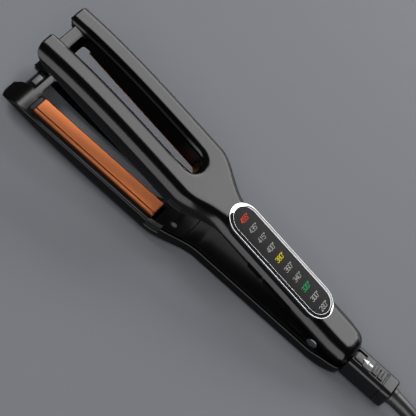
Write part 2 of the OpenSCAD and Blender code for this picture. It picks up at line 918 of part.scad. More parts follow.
// tail sleeve: a neck held in the lower arm and a box behind the arms
neck_w = 13;
neck_rise = 1.8;
sleeve_z = base_h - sleeve_drop;
module box_run(x0, x1, w, h, top_r, low_r) {
    translate([x0, 0, sleeve_z])
        rotate([90, 0, 90])
            linear_extrude(x1 - x0)
                polygon(round_box(w, h, top_r, low_r));
}
slider_x0 = x_sleeve + 1.6;
slider_floor = sleeve_z + sleeve_h / 2 - 1.7;
module tail_sleeve() {
    color("#161618")
        difference() {
            union() {
                box_run(x_sleeve, x_collar - fit, sleeve_w, sleeve_h, 3.8, 2.4);
                translate([x_hinge + 6.4, -neck_w / 2, sleeve_z - sleeve_h / 2 + neck_rise])
                    cube([x_sleeve - x_hinge - 6, neck_w, sleeve_h - neck_rise - 4]);
            }
            box_run(x_hinge, x_end, sleeve_w - 2 * sleeve_wall - 2, sleeve_h - 2 * sleeve_wall - 2.4, 1, 1);
            // slider channel, open to the front
            translate([x_sleeve - 1, -slider_w / 2 - slide_gap, slider_floor])
                cube([slider_len + 1.6 + slide_gap + 1, slider_w + 2 * slide_gap, 6]);
        }
}
module lock_slider() {
    tongue = lock_travel + 1;
    color("#2a2a2c")
        difference() {
            union() {
                translate([slider_x0, -slider_w / 2 + 1.6, slider_floor + 0.05])
                    cube([slider_len, slider_w - 3.2, 1.9]);
                translate([slider_x0 + tongue, -slider_w / 2, slider_floor + 0.05])
                    cube([slider_len - tongue, slider_w, 2.6]);
            }
            // grip slots
            for (i = [0 : 1])
                translate([x_collar - 9.6 + i * 4.2, -slider_w / 2 + 1.2, slider_floor + 1.7])
                    cube([1.7, slider_w, 3]);
        }
}
module tail_collar() {
    color("#161618")
        difference() {
            box_run(x_collar, x_end, sleeve_w, sleeve_h, 3.8, 2.4);
            translate([x_collar - 1, 0, sleeve_z])
                rotate([0, 90, 0])
                    cylinder(h = collar_len + 2, d = relief_d - 1.4);
            translate([x_collar - 1, 0, sleeve_z])
                rotate([0, 90, 0])
                    cylinder(h = 1 + collar_len / 2, d = relief_d);
        }
}
// bush that holds the cord inside the collar
module cord_bush() {
    color("#0f0f10")
        translate([x_collar - fit, 0, sleeve_z])
            rotate([0, 90, 0]) {
                cylinder(h = collar_len / 2 + fit, d = relief_d - 0.2, $fn = few);
                cylinder(h = collar_len + fit - 0.05, d = relief_d - 1.6, $fn = few);
            }
}

// leads in the lower grip and their clamp
lead_z = base_h - lower_cavity_h + 4.2;
lead_d = 2.2;
lead_y = 2.4;
module power_leads() {
    color("#8a2f2a")
        for (s = [-1, 1])
            translate([x_grip + 12, s * lead_y, lead_z])
                rotate([0, 90, 0])
                    cylinder(h = x_hinge + 5.8 - x_grip - 12, d = lead_d, $fn = few);
}
module lead_clamp() {
    color("#55585c")
        difference() {
            translate([x_grip + 8, -6, base_h - lower_cavity_h + 1.4])
                cube([10, 12, lower_cavity_h - 1.4 - lower_grip_rim - cover_t]);
            for (s = [-1, 1])
                translate([x_grip + 12 - fit, s * lead_y, lead_z])
                    rotate([0, 90, 0])
                        cylinder(h = 30, d = lead_d + 2 * fit, $fn = few);
        }
}

// route of the cord on the floor, from the collar to the plug
cord_r = cord_d / 2;
relief_pts = [[148, 0, 11.5], [152, 0, 11.4], [157, 0, 11], [162, 0, 10.3], [168, 0, 9.1],
    [174, 0, 7.6], [180, 0, 6], [186, 0, 4.6]];
run_pts = [[186, 0, 4.6], [191.6, -0.4, 3.8], [196, -1.6, 3.5], [200.1, -3.5, 3.4],
    [203.8, -6.1, 3.4], [208.6, -10.7, 3.4]];
tail_pts = [[302.5, -24.1, 24.4], [309, -24.1, 24], [316, -23.7, 22.6], [324, -22.4, 19.6],
    [332, -20.3, 15.6], [340, -17.9, 11.9], [348, -15.9, 9], [355, -14.6, 7.5],
    [361, -14.1, 7.1], [367, -14, 7]];
// hank of loops with round ends, which spiral in and out again over four layers
hank_c = [266, 7.4];
hank_a = 30;
hank_r = 30.9;
hank_step = 7.6;
hank_half = 1.5;
hank_turns = 6;
hank_draw = 7;
hank_lift = 0.9;
hank_rise = 7;
hank_z = 3.4;
hank_rings = 24;
run_share = 1 / 6;
function fold_in(t) = t < 0 ? t : t > hank_turns ? hank_turns - t :
    let (m = t % (2 * hank_half)) min(m, 2 * hank_half - m);
function climbed(t) = hank_rise * (smooth((t - hank_half) / run_share + 0.5)
    + smooth((t - 2 * hank_half) / run_share + 0.5)
    + smooth((t - 3 * hank_half) / run_share + 0.5));
function hank_at(t) =
    let (
        r = hank_r - hank_step * fold_in(t),
        z = hank_z + climbed(t),
        v = (t - floor(t) + run_share / 2) % 1,
        s = v < 0.5 ? 1 : -1,
        w = v < 0.5 ? v : v - 0.5,
        x = hank_a * (2 * w / run_share - 1),
        drawn = pow(cos(90 * x / hank_a), 2),
        f = 180 * (w - run_share) / (0.5 - run_share))
    w <= run_share
        ? [hank_c[0] + s * x, hank_c[1] - s * (r - hank_draw * drawn), z + hank_lift * drawn]
        : [hank_c[0] + s * (hank_a + r * sin(f)), hank_c[1] - s * r * cos(f), z];
loop_pts = concat(
    [run_pts[5]],
    [for (i = [-4 : hank_rings * hank_turns + 2]) hank_at(i / hank_rings)],
    [tail_pts[0]]);
gap_pts = [for (i = [-8 : 2 * hank_rings * hank_turns + 4]) hank_at(i / (2 * hank_rings))];
least_gap = min([for (i = [0 : len(gap_pts) - 26]) for (j = [i + 24 : 1 : len(gap_pts) - 1])
    norm(gap_pts[i] - gap_pts[j])]) - cord_d;
echo("least gap between the loops of the cord", least_gap);

relief_end = unit(run_pts[1] - relief_pts[6]);
module strain_relief() {
    n = len(relief_pts);
    color("#111112")
        sweep(relief_pts, [for (i = [0 : n - 1]) blend(relief_d / 2, cord_r + 0.7, i / (n - 1))], 20,
            end = relief_end);
}
hank_start = unit(loop_pts[1] - loop_pts[0]);
hank_end = [1, 0, 0];
module cord_run() {
    color("#0d0d0e")
        sweep(run_pts, [for (p = run_pts) cord_r], 10, start = relief_end, end = hank_start);
}
module cord_hank() {
    color("#0d0d0e")
        sweep(loop_pts, [for (p = loop_pts) cord_r], 6, start = hank_start, end = hank_end);
}
module cord_end() {
    color("#0d0d0e")
        sweep(tail_pts, [for (p = tail_pts) cord_r], 10, start = hank_end, end = [1, 0, 0]);
}
// strap that ties the hank at its waist
tie_w = 8;
tie_t = 0.7;
tie_y0 = -21.3;
tie_y1 = 32.3;
tie_z0 = 0.8;
tie_z1 = 28.8;
tie_round = 3.4;
module tie_outline(grow) {
    c = tie_round;
    for (y = [tie_y0 + c, tie_y1 - c], z = [tie_z0 + c, tie_z1 - c])
        translate([-z, y])
            circle(r = c + grow);
    translate([-tie_z1 - grow, tie_y0 + c])
        square([tie_z1 - tie_z0 + 2 * grow, tie_y1 - tie_y0 - 2 * c]);
    translate([c - tie_z1, tie_y0 - grow])
        square([tie_z1 - tie_z0 - 2 * c, tie_y1 - tie_y0 + 2 * grow]);
}
module cord_tie() {
    color("#1a1a1c")
        translate([hank_c[0] - tie_w / 2, 0, 0])
            rotate([0, 90, 0])
                linear_extrude(tie_w)
                    difference() {
                        tie_outline(tie_t);
                        tie_outline(0);
                    }
}
// plug with two flat blades
plug_x = 367;
plug_y = -14;
plug_z = 7;
plug_neck_len = 12;
plug_neck_d = 9.4;
plug_len = 20;
plug_w = 23;
plug_h = 14;
blade_len = 17.5;
blade_w = 6.3;
blade_t = 1.5;
blade_pitch = 12.7;
module plug_body() {
    color("#0d0d0e")
        translate([plug_x, plug_y, plug_z]) {
            rotate([0, 90, 0])
                cylinder(h = plug_neck_len + 0.4, d = plug_neck_d);
            translate([plug_neck_len, -plug_w / 2, -plug_h / 2])
                cube([plug_len, plug_w, plug_h]);
        }
}
module plug_blades() {
    color("#b7b9bb")
        for (s = [-1, 1])
            translate([plug_x + plug_neck_len + plug_len, plug_y, plug_z - blade_w / 2])
                translate([0, (s * blade_pitch - blade_t) / 2, 0])
                    cube([blade_len, blade_t, blade_w]);
}

lower_shell();
lower_inner_frame();
lower_vents();
lower_frame_screws();
lower_handle_cover();
lower_plate_near();
lower_plate_far();
lower_heater_near();
lower_heater_far();
lower_tray_near();
lower_tray_far();
lower_cushions_near();
lower_cushions_far();
locating_tab();
upper_shell();
upper_inner_frame();
upper_vents();
upper_frame_screws();
upper_handle_cover();
power_button();
minus_button();
plus_button();
circuit_board();
button_switches();
indicator_lights();
temperature_marks();
panel_window();
panel_ring();
upper_plate_near();
upper_plate_far();
upper_heater_near();
upper_heater_far();
upper_tray_near();
upper_tray_far();
upper_cushions_near();
upper_cushions_far();
hinge_pin();
hinge_spring();
tail_sleeve();
lock_slider();
tail_collar();
cord_bush();
power_leads();
lead_clamp();
strain_relief();
cord_run();
cord_hank();
cord_end();
cord_tie();
plug_body();
plug_blades();
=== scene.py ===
import bpy
import bmesh
import json
import numpy as np
from math import asin, cos, hypot, pi, radians, sin, sqrt
from mathutils import Matrix, Vector


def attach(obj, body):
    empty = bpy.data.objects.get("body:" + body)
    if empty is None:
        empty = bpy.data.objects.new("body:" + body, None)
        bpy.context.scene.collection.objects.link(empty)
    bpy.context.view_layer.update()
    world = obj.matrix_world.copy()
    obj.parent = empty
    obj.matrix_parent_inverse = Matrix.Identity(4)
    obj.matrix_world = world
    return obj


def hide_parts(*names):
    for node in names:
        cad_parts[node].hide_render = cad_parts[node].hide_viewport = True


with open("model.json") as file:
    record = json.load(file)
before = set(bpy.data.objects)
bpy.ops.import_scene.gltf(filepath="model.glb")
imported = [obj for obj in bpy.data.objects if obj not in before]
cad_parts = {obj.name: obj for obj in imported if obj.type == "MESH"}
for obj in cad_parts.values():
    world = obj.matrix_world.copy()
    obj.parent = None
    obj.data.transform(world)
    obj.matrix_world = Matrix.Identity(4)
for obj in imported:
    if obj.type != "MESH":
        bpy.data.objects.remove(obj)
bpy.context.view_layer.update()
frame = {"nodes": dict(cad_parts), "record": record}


def add_object(name, data):
    obj = bpy.data.objects.new(name, data)
    bpy.context.scene.collection.objects.link(obj)
    return obj


# ==== camera
az, el, roll = (radians(a) for a in (2.27, 48.98, 39.98))
target = Vector((-0.0089, 0.0, 0.0282))
cam_dist, cam_px, photo_px = 0.9147, 1527.5, 416
back = Vector((sin(az) * cos(el), -cos(az) * cos(el), sin(el)))
right = Vector((cos(az), sin(az), 0.0))
upward = right.cross(-back)
cam_x = cos(roll) * right + sin(roll) * upward
cam_y = -sin(roll) * right + cos(roll) * upward
cam_data = bpy.data.cameras.new("camera")
cam = add_object("camera", cam_data)
pose = Matrix((cam_x, cam_y, back)).transposed().to_4x4()
pose.translation = target + back * cam_dist
cam.matrix_world = pose
cam_data.sensor_width = 36.0
cam_data.lens = 36.0 * cam_px / photo_px
cam_data.clip_start = 0.05
cam_data.clip_end = 20
bpy.context.scene.camera = cam

# ==== the arms' own numbers, in mm
# places along the arm: tip, front pad, plate pockets, plates, end of the slot, seam, grip, hinge, tail
X_TIP, X_PAD, X_POCKET, X_PLATE0, SLOT_BACK, X_PLATE1 = -148.0, -133.0, -129.2, -125.8, -39.3, -30.4
X_SEAM, X_GRIP, X_HINGE, X_TAIL, X_SLEEVE = -7.8, 5.0, 91.3, 114.3, 114.7
PLATE_Y, PLATE_W, PLATE_LEN, SLOT_HALF, HEAD_HALF = 16.4, 12.4, 95.4, 8.0, 26.8
GRIP_HALF, TAIL_HALF, TAIL_LEN, WAIST_LEN, GRIP_LEN, TAPER_AT = 14.5, 9.9, 23.0, 35.4, 86.3, 4
X_TAPER, TAPER_LEN, SLOT_END = X_HINGE + TAPER_AT, TAIL_LEN - TAPER_AT, SLOT_BACK + SLOT_HALF
# heights from the closing plane, and walls
NOSE_H, HEAD_H, GRIP_H, LOWER_TAIL_H = 9.9, 16.0, 12.6, 12.9
RIM_H, UPPER_RIM_H, LOWER_RIM_H, LOWER_TAIL_RIM = 2.2, 5.5, 7.2, 5.1
WALL, INNER_WALL, TIP_ROUND, GRIP_SHOULDER, INNER_SHOULDER = 1.8, 1.95, 5.0, 3.5, 4.5
END_WALL, TOP_WALL, LEAST_SIDE = 2.4, 1.3, 0.5
HINGE_DROP, OPEN_ANGLE, BASE_H = 3.1, radians(9.3), 16.0
VENT_X, VENT_LEN, VENT_TOP, VENT_SINK, VENT_DEPTH = -31.4, 9.6, 6.4, 0.7, 3.3
SLEEVE_Z, SLEEVE_W, SLEEVE_H = 11.5, 16.7, 15.6
RING_X0, RING_X1, RING_HALF, RING_BAND, WINDOW_Z = -2.1, 85.2, 12.0, 2.75, 13.6
CORD_D, PLUG_Y, PLUG_Z = 6.5, -14, 7
FIT, SLIDE = 0.1, 0.25


def smooth(t):
    t = min(1.0, max(0.0, t))
    return t * t * (3 - 2 * t)


def blend(a, b, t):
    return a + (b - a) * t


def steps(a, b, n):
    return [a + (b - a) * i / n for i in range(n + 1)]


def waist(x):
    return smooth((x - X_PLATE1) / WAIST_LEN)


def half_w(x):
    if x < X_TAPER:
        return blend(HEAD_HALF, GRIP_HALF, waist(x))
    t = min(1.0, (x - X_HINGE - TAPER_AT) / TAPER_LEN)
    return TAIL_HALF + (GRIP_HALF - TAIL_HALF) * sqrt(1 - t ** 2)


def upper_top(x):
    if x < X_PLATE1:
        return blend(NOSE_H, HEAD_H, 1 - max(0.0, 1 - (x - X_TIP) / (X_PLATE1 - X_TIP)) ** 3.4)
    return blend(HEAD_H, GRIP_H, waist(x))


def lower_top(x):
    if x < X_PLATE1:
        return upper_top(x)
    return blend(HEAD_H, LOWER_TAIL_H, max(0.0, (x - X_HINGE) / TAIL_LEN) ** 2)


def upper_rim(x):
    return blend(RIM_H, UPPER_RIM_H, waist(x))


def lower_rim(x):
    return blend(blend(RIM_H, LOWER_RIM_H, waist(x)), LOWER_TAIL_RIM, smooth((x - X_HINGE) / 12))


def upper_face(x):
    return blend(RIM_H, 4.3, waist(x)) - 1.5 * max(0.0, (x - X_GRIP) / GRIP_LEN)


def lower_face(x):
    return blend(RIM_H, 5.0, waist(x))


def nose_low(x):
    """Lowest point of the side over the nose, which rises to a blunt tip."""
    u = (x - X_TIP) / (X_PAD - X_TIP)
    return blend(NOSE_H - 2, RIM_H, 1 - (1 - u) ** 1.9) if u < 1 else RIM_H


def lower_arm(p):
    """A point of the closed arm's drawing, in mm, put on the lower arm, in m."""
    return (p[0] / 1000, p[1] / 1000, (BASE_H - p[2]) / 1000)


def upper_arm(p):
    """The same for the upper arm, which is swung open at the hinge."""
    dx, dz = p[0] - X_HINGE, p[2] + HINGE_DROP
    c, s = cos(OPEN_ANGLE), sin(OPEN_ANGLE)
    return ((dx * c + dz * s + X_HINGE) / 1000, p[1] / 1000, (-dx * s + dz * c + BASE_H - HINGE_DROP) / 1000)


def in_world(p):
    return tuple(c / 1000 for c in p)


ARMS = {"lower": lower_arm, "upper": upper_arm}


# ==== mesh helpers
def finish_mesh(bm, name, body, slot, nodes, mat=None, sharp=38.0, weld=1e-6):
    bmesh.ops.remove_doubles(bm, verts=bm.verts, dist=weld)
    bmesh.ops.dissolve_degenerate(bm, edges=bm.edges, dist=weld)
    bmesh.ops.delete(bm, geom=[v for v in bm.verts if not v.link_faces], context="VERTS")
    bmesh.ops.holes_fill(bm, edges=[e for e in bm.edges if e.is_boundary], sides=6)
    bmesh.ops.recalc_face_normals(bm, faces=bm.faces)
    limit = radians(sharp)
    for f in bm.faces:
        f.smooth = True
    for e in bm.edges:
        e.smooth = len(e.link_faces) == 2 and e.calc_face_angle(0.0) < limit
    mesh = bpy.data.meshes.new(name)
    bm.to_mesh(mesh)
    bm.free()
    obj = add_object(name, mesh)
    mesh.materials.append(mat or M[slot])
    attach(obj, body)
    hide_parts(*nodes)


def piece(name, body, slot, build, nodes, **how):
    bm = bmesh.new()
    build(bm)
    finish_mesh(bm, name, body, slot, nodes, **how)


def skin(bm, rows, loop=False):
    """Quads between neighbouring closed rows of vertices."""
    for a, b in list(zip(rows, rows[1:])) + ([(rows[-1], rows[0])] if loop else []):
        for j in range(len(a)):
            k = (j + 1) % len(a)
            bm.faces.new((a[j], a[k], b[k], b[j]))


def add_rings(bm, rings, place, loop=False):
    """A skin through rings of points, closed on itself or with flat ends."""
    grid = [[bm.verts.new(place(p)) for p in ring] for ring in rings]
    skin(bm, grid, loop)
    if not loop:
        bm.faces.new(grid[0][::-1])
        bm.faces.new(grid[-1])


def arc(cy, cz, r, a0, a1, n):
    return [(cy + r * cos(radians(a)), cz + r * sin(radians(a))) for a in steps(a0, a1, n)]


def rounded_rect(w, h, r, n):
    """Rounded rectangle round the origin; r is one radius or four, from low right counterclockwise."""
    r = (r,) * 4 if isinstance(r, (int, float)) else r
    return (arc(w / 2 - r[0], r[0] - h / 2, r[0], -90, 0, n) + arc(w / 2 - r[1], h / 2 - r[1], r[1], 0, 90, n)
            + arc(r[2] - w / 2, h / 2 - r[2], r[2], 90, 180, n) + arc(r[3] - w / 2, r[3] - h / 2, r[3], 180, 270, n))


# ==== materials
def new_mat(name):
    mat = bpy.data.materials.new(name)
    mat.use_nodes = True
    nt = mat.node_tree
    return mat, nt, nt.nodes["Principled BSDF"]


def set_inputs(node, **values):
    """Constants of a node's sockets, whose names are written with _ for each space."""
    for name, value in values.items():
        node.inputs[name.replace("_", " ")].default_value = value


def add_node(nt, kind, links, **values):
    """New node with inputs that are linked to sockets, and others that are set."""
    node = nt.nodes.new("ShaderNode" + kind)
    set_inputs(node, **values)
    for name, source in links.items():
        nt.links.new(source, node.inputs[name])
    return node


def object_place(nt):
    return add_node(nt, "TexCoord", {}).outputs["Object"]


def noise(nt, scale, detail):
    return add_node(nt, "TexNoise", {"Vector": object_place(nt)}, Scale=scale, Detail=detail).outputs["Fac"]


def ramp(nt, source, stops):
    node = nt.nodes.new("ShaderNodeValToRGB")
    for e, (pos, col) in zip(node.color_ramp.elements, stops):
        e.position = pos
        e.color = (*col, 1)
    nt.links.new(source, node.inputs["Fac"])
    return node.outputs["Color"]


def plastic(name, colour, rough, grain, bump, vary, specular=0.5, metallic=0.0, shade=0.12):
    """Moulded or coated surface: slow drift in its colour, fine grain in its gloss and height."""
    mat, nt, b = new_mat(name)
    set_inputs(b, Metallic=metallic, Specular_IOR_Level=specular)
    low, high = (tuple(c * (1 - shade) for c in colour), tuple(min(1, c * (1 + shade)) for c in colour))
    drift = ramp(nt, noise(nt, 45, 3), [(0.3, low), (0.7, high)])
    nt.links.new(drift, b.inputs["Base Color"])
    fine = noise(nt, grain, 4)
    gloss = ramp(nt, fine, [(0.25, (max(0.02, rough - vary),) * 3), (0.75, (min(1, rough + vary),) * 3)])
    nt.links.new(gloss, b.inputs["Roughness"])
    relief = add_node(nt, "Bump", {"Height": fine}, Strength=bump, Distance=0.0002)
    nt.links.new(relief.outputs["Normal"], b.inputs["Normal"])
    return mat


def glowing(name, colour, strength):
    """Lit mark behind a printed film."""
    mat = plastic(name, tuple(0.3 * c for c in colour), 0.45, 2500, 0.02, 0.05, shade=0.06, specular=0.05)
    set_inputs(mat.node_tree.nodes["Principled BSDF"], Emission_Color=(*colour, 1), Emission_Strength=strength)
    return mat


def shell_coat():
    """Gloss coating, with painted shade on the walls of the slot: a lower specular level there stands in for the shade
    that the prongs cast on them.
    """
    gloss, painted_slot_shade = 0.3, 0.04
    mat = plastic("shell_gloss", (0.0012, 0.0012, 0.0014), 0.19, 1800, 0.006, 0.03, specular=gloss)
    nt = mat.node_tree

    def step(source, low, high, to_low=0.0, to_high=1.0):
        limits = dict(From_Min=low, From_Max=high, To_Min=to_low, To_Max=to_high)
        return add_node(nt, "MapRange", {"Value": source}, **limits).outputs["Result"]

    def maths(operation, *sources):
        node = nt.nodes.new("ShaderNodeMath")
        node.operation = operation
        for source, socket in zip(sources, node.inputs):
            nt.links.new(source, socket)
        return node.outputs["Value"]

    place = add_node(nt, "SeparateXYZ", {"Vector": object_place(nt)}).outputs
    outside = step(maths("ABSOLUTE", place["Y"]), 0.0118, 0.0128)
    behind, before = step(place["X"], -0.046, -0.036), step(place["X"], -0.1295, -0.1325)
    # painted shade: between the prongs, inside the slot, the specular level drops to the low value
    level = step(maths("MAXIMUM", maths("MAXIMUM", outside, behind), before), 0.0, 1.0, painted_slot_shade, gloss)
    nt.links.new(level, nt.nodes["Principled BSDF"].inputs["Specular IOR Level"])
    return mat


# slot, finish, colour, roughness, grain, bump, drift of the gloss, and specular level where it isn't 0.5
PLAIN = (
    ("frame", "satin", (0.003, 0.003, 0.0033), 0.26, 4200, 0.04, 0.05, 0.04),
    ("vent", "satin", (0.016, 0.016, 0.017), 0.36, 4200, 0.06, 0.05),
    ("cover", "satin", (0.0025, 0.0025, 0.0028), 0.26, 4200, 0.05, 0.05, 0.035),
    ("tab", "satin", (0.02, 0.02, 0.021), 0.4, 4200, 0.06, 0.05),
    ("button", "satin", (0.022, 0.022, 0.024), 0.38, 4200, 0.08, 0.05),
    ("board", "laminate", (0.02, 0.12, 0.05), 0.4, 900, 0.05, 0.06),
    ("light", "cap", (0.8, 0.76, 0.5), 0.2, 1500, 0.01, 0.03),
    ("window", "satin", (0.012, 0.012, 0.0116), 0.36, 5200, 0.07, 0.05, 0.035),
    ("heater", "ceramic", (0.78, 0.75, 0.7), 0.55, 2000, 0.05, 0.08),
    ("tray", "plastic", (0.02, 0.02, 0.022), 0.4, 3000, 0.06, 0.05, 0.1),
    ("cushion", "silicone", (0.25, 0.09, 0.07), 0.6, 2500, 0.05, 0.05),
    ("sleeve", "gloss", (0.006, 0.006, 0.0065), 0.16, 2200, 0.01, 0.04, 0.3),
    ("slider", "satin", (0.014, 0.014, 0.015), 0.32, 4200, 0.06, 0.05, 0.3),
    ("bush", "rubber", (0.015, 0.015, 0.015), 0.6, 2500, 0.06, 0.05),
    ("lead", "sleeve", (0.25, 0.02, 0.015), 0.4, 2500, 0.03, 0.05),
    ("clamp", "plastic", (0.1, 0.11, 0.12), 0.45, 3000, 0.05, 0.05),
    ("relief", "rubber", (0.012, 0.012, 0.0125), 0.36, 3200, 0.06, 0.06),
    ("cord", "rubber", (0.013, 0.013, 0.0135), 0.42, 2600, 0.06, 0.06),
    ("tie", "strap", (0.02, 0.02, 0.021), 0.7, 1600, 0.3, 0.1),
    ("plug", "rubber", (0.014, 0.014, 0.0145), 0.4, 3200, 0.07, 0.06),
    ("mark", "plain", (0.85, 0.85, 0.84), 0.5, 2500, 0.02, 0.05),
)
# slot, finish, drift of the colour, colour, roughness, grain, bump, drift of the gloss
METALS = (
    ("screw", "steel", 0.12, (0.22, 0.22, 0.23), 0.32, 2600, 0.05, 0.08),
    ("switch", "steel", 0.12, (0.45, 0.45, 0.47), 0.3, 2600, 0.03, 0.06),
    ("ring", "chrome", 0.02, (0.42, 0.424, 0.43), 0.05, 1500, 0.004, 0.02),
    ("plate", "copper", 0.03, (0.34, 0.105, 0.037), 0.42, 1400, 0.01, 0.02),
    ("pin", "steel", 0.12, (0.16, 0.165, 0.17), 0.28, 2200, 0.03, 0.06),
    ("spring", "steel", 0.12, (0.5, 0.5, 0.52), 0.28, 2600, 0.03, 0.05),
    ("blade", "nickel", 0.12, (0.7, 0.69, 0.66), 0.25, 2200, 0.02, 0.05),
)
M = {
    "shell": shell_coat(),
    "mark_grey": plastic("mark_grey", (0.42, 0.42, 0.41), 0.5, 2500, 0.02, 0.05),
    "mark_red": glowing("mark_red", (0.85, 0.05, 0.01), 1.0),
    "mark_yellow": glowing("mark_yellow", (0.75, 0.62, 0.0), 1.0),
    "mark_green": glowing("mark_green", (0.0, 0.42, 0.12), 0.9),
}
M.update({slot: plastic(f"{slot}_{finish}", *look) for slot, finish, *look in PLAIN})
M.update({slot: plastic(f"{slot}_{finish}", *look, metallic=1.0, shade=drift)
          for slot, finish, drift, *look in METALS})

# ==== cord
RELIEF = [(148, 0, 11.5), (152, 0, 11.4), (157, 0, 11), (162, 0, 10.3), (168, 0, 9.1),
          (174, 0, 7.6), (180, 0, 6), (186, 0, 4.6)]
RUN = [(191.6, -0.4, 3.8), (196, -1.6, 3.5), (200.1, -3.5, 3.4), (203.8, -6.1, 3.4), (208.6, -10.7, 3.4)]
TAIL = [(302.5, -24.1, 24.4), (309, -24.1, 24), (316, -23.7, 22.6), (324, -22.4, 19.6), (332, -20.3, 15.6),
        (340, -17.9, 11.9), (348, -15.9, 9), (355, -14.6, 7.5), (361, -14.1, 7.1), (367, -14, 7)]
HANK_C, HANK_A, HANK_R, HANK_STEP, HANK_HALF, HANK_TURNS = (266, 7.4), 30, 30.9, 7.6, 1.5, 6
HANK_DRAW, HANK_LIFT, HANK_RISE, HANK_Z, RUN_SHARE, HANK_RINGS = 7, 0.9, 7, 3.4, 1 / 6, 48


def fold_in(t):
    """Distance in from the outermost turn, in turns: each layer winds in or out."""
    if t < 0:
        return t
    if t > HANK_TURNS:
        return HANK_TURNS - t
    m = t % (2 * HANK_HALF)
    return min(m, 2 * HANK_HALF - m)


def hank_at(t):
    """Point of the hank after t turns: long runs, drawn together under the strap, and bends."""
    r = HANK_R - HANK_STEP * fold_in(t)
    z = HANK_Z + HANK_RISE * sum(smooth((t - k * HANK_HALF) / RUN_SHARE + 0.5) for k in (1, 2, 3))
    v = (t + RUN_SHARE / 2) % 1
    s, w = (1, v) if v < 0.5 else (-1, v - 0.5)
    if w <= RUN_SHARE:
        x = HANK_A * (2 * w / RUN_SHARE - 1)
        drawn = cos(pi / 2 * x / HANK_A) ** 2
        return (HANK_C[0] + s * x, HANK_C[1] - s * (r - HANK_DRAW * drawn), z + HANK_LIFT * drawn)
    f = pi * (w - RUN_SHARE) / (0.5 - RUN_SHARE)
    return (HANK_C[0] + s * (HANK_A + r * sin(f)), HANK_C[1] - s * r * cos(f), z)


HANK = [hank_at(i / HANK_RINGS) for i in range(-8, HANK_RINGS * HANK_TURNS + 5)]
route = [in_world(p) for p in RELIEF + RUN + HANK + TAIL]
curve = bpy.data.curves.new("mains_cord", "CURVE")
curve.dimensions = "3D"
spline = curve.splines.new("POLY")
spline.points.add(len(route) - 1)
for point, p in zip(spline.points, route):
    point.co = (*p, 1)
curve.bevel_depth = CORD_D / 2000
curve.bevel_resolution = 5
curve.use_fill_caps = True
cord = add_object("mains_cord", curve)
curve.materials.append(M["cord"])
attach(cord, "lower_arm")
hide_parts("cord_run", "cord_hank", "cord_end")
cord_len = sum((Vector(b) - Vector(a)).length for a, b in zip(route, route[1:]))


# ==== outer shells
def seg_dist(points, line):
    """Distance of each point to a polyline."""
    p = np.asarray(points, float)
    a, b = np.asarray(line[:-1], float), np.asarray(line[1:], float)
    d = b - a
    t = np.clip(((p[:, None] - a) * d).sum(2) / np.maximum((d * d).sum(1), 1e-12), 0, 1)
    return np.sqrt((((a + t[..., None] * d) - p[:, None]) ** 2).sum(2)).min(1).tolist()


def tuck(x):
    """How far the rounded tip sets the slot's side back at x."""
    r = TIP_ROUND
    return r - sqrt(max(0.0, r * r - (r - (x - X_TIP)) ** 2)) if x < X_TIP + r else 0.0


def quarter(r, n):
    """Distances from 0 to r, closer at the start."""
    return [r * (1 - cos(a)) for a in steps(0, pi / 2, n)]


def turned(*parts):
    """Rounded edge made of arcs, each with its radius and the tilt it ends at: distance inward, and fall."""
    y = z = a = 0.0
    line, n = [(0.0, 0.0)], 21 // len(parts)
    for r, end in parts:
        end = radians(end)
        for b in steps(a, end, n)[1:]:
            line.append((y + r * (sin(b) - sin(a)), z + r * (cos(a) - cos(b))))
        (y, z), a = line[-1], end
    return np.array([(y - v, f) for v, f in line[::-1]]).T


HEAD_EDGE = turned((7.0, 45), (12.5, 64), (4.0, 88))
GRIP_EDGE = turned((9.0, 45), (12.0, 64), (10.0, 72))
LOWER_GRIP_EDGE = turned((GRIP_SHOULDER, 90))
SLOT_EDGE = turned((INNER_SHOULDER, 90))
TIP_EDGE = turned((1.2, 90))


def reach_of(edge, most):
    """How far inward the edge has fallen by no more than this."""
    return float(np.interp(most, edge[1][::-1], edge[0][::-1])) if most < edge[1][0] else 0.0


def fall(edge, d, most=99.0):
    """Fall at d from the edge. Where the wall is thin the edge keeps its radius and starts nearer the outside."""
    return float(np.interp(d + reach_of(edge, most), edge[0], edge[1]))


def body_half(x, tail_r):
    """Half width of the visible shell: the nose narrows where the rounded side meets the underside."""
    if x < X_PLATE1:
        u = min(1.0, (x - X_TIP) / 5.5)
        tip = 9 * (1 - sqrt(1 - (1 - u) ** 2))
        return HEAD_HALF - max(tip, reach_of(HEAD_EDGE, upper_top(x) - nose_low(x) - LEAST_SIDE))
    u = x - (X_TAIL - tail_r)
    return half_w(x) - (tail_r - sqrt(max(0.0, tail_r ** 2 - u * u)) if u > 0 else 0.0)


NOSE_START = (X_TIP, 17.4)


def outline(tail_r):
    xs = list(np.linspace(X_TIP, X_TIP + 12, 90)) + list(np.linspace(X_TIP + 12.5, X_TAPER, 180))
    xs += list(X_TAIL - np.array(quarter(TAPER_LEN, 60))[::-1])
    return [NOSE_START] + [(x, body_half(x, tail_r)) for x in xs] + [(X_TAIL, 0)]


inner_line = [NOSE_START] + [(X_TIP + t, SLOT_HALF + tuck(X_TIP + t)) for t in quarter(TIP_ROUND, 16)]
inner_line += [(SLOT_BACK, SLOT_HALF)] + [(SLOT_BACK + SLOT_HALF * sin(a), SLOT_HALF * cos(a))
                                          for a in steps(0, pi / 2, 40)[1:]]


def inner_half(x, grow=0.0):
    """Half width of the slot at x."""
    if x <= SLOT_BACK:
        return SLOT_HALF + grow + (tuck(x) if grow == 0 else 0.0)
    r = SLOT_HALF + grow
    return sqrt(max(0.0, r * r - (x - SLOT_BACK) ** 2))


# steps in the section: where the solid nose ends, the vents' opening, and the wall at the tail
VENT_STEPS = (VENT_X - FIT, VENT_X + VENT_LEN + FIT)
NOSE_STEP, END_STEP = X_POCKET - 0.1, X_TAIL - END_WALL


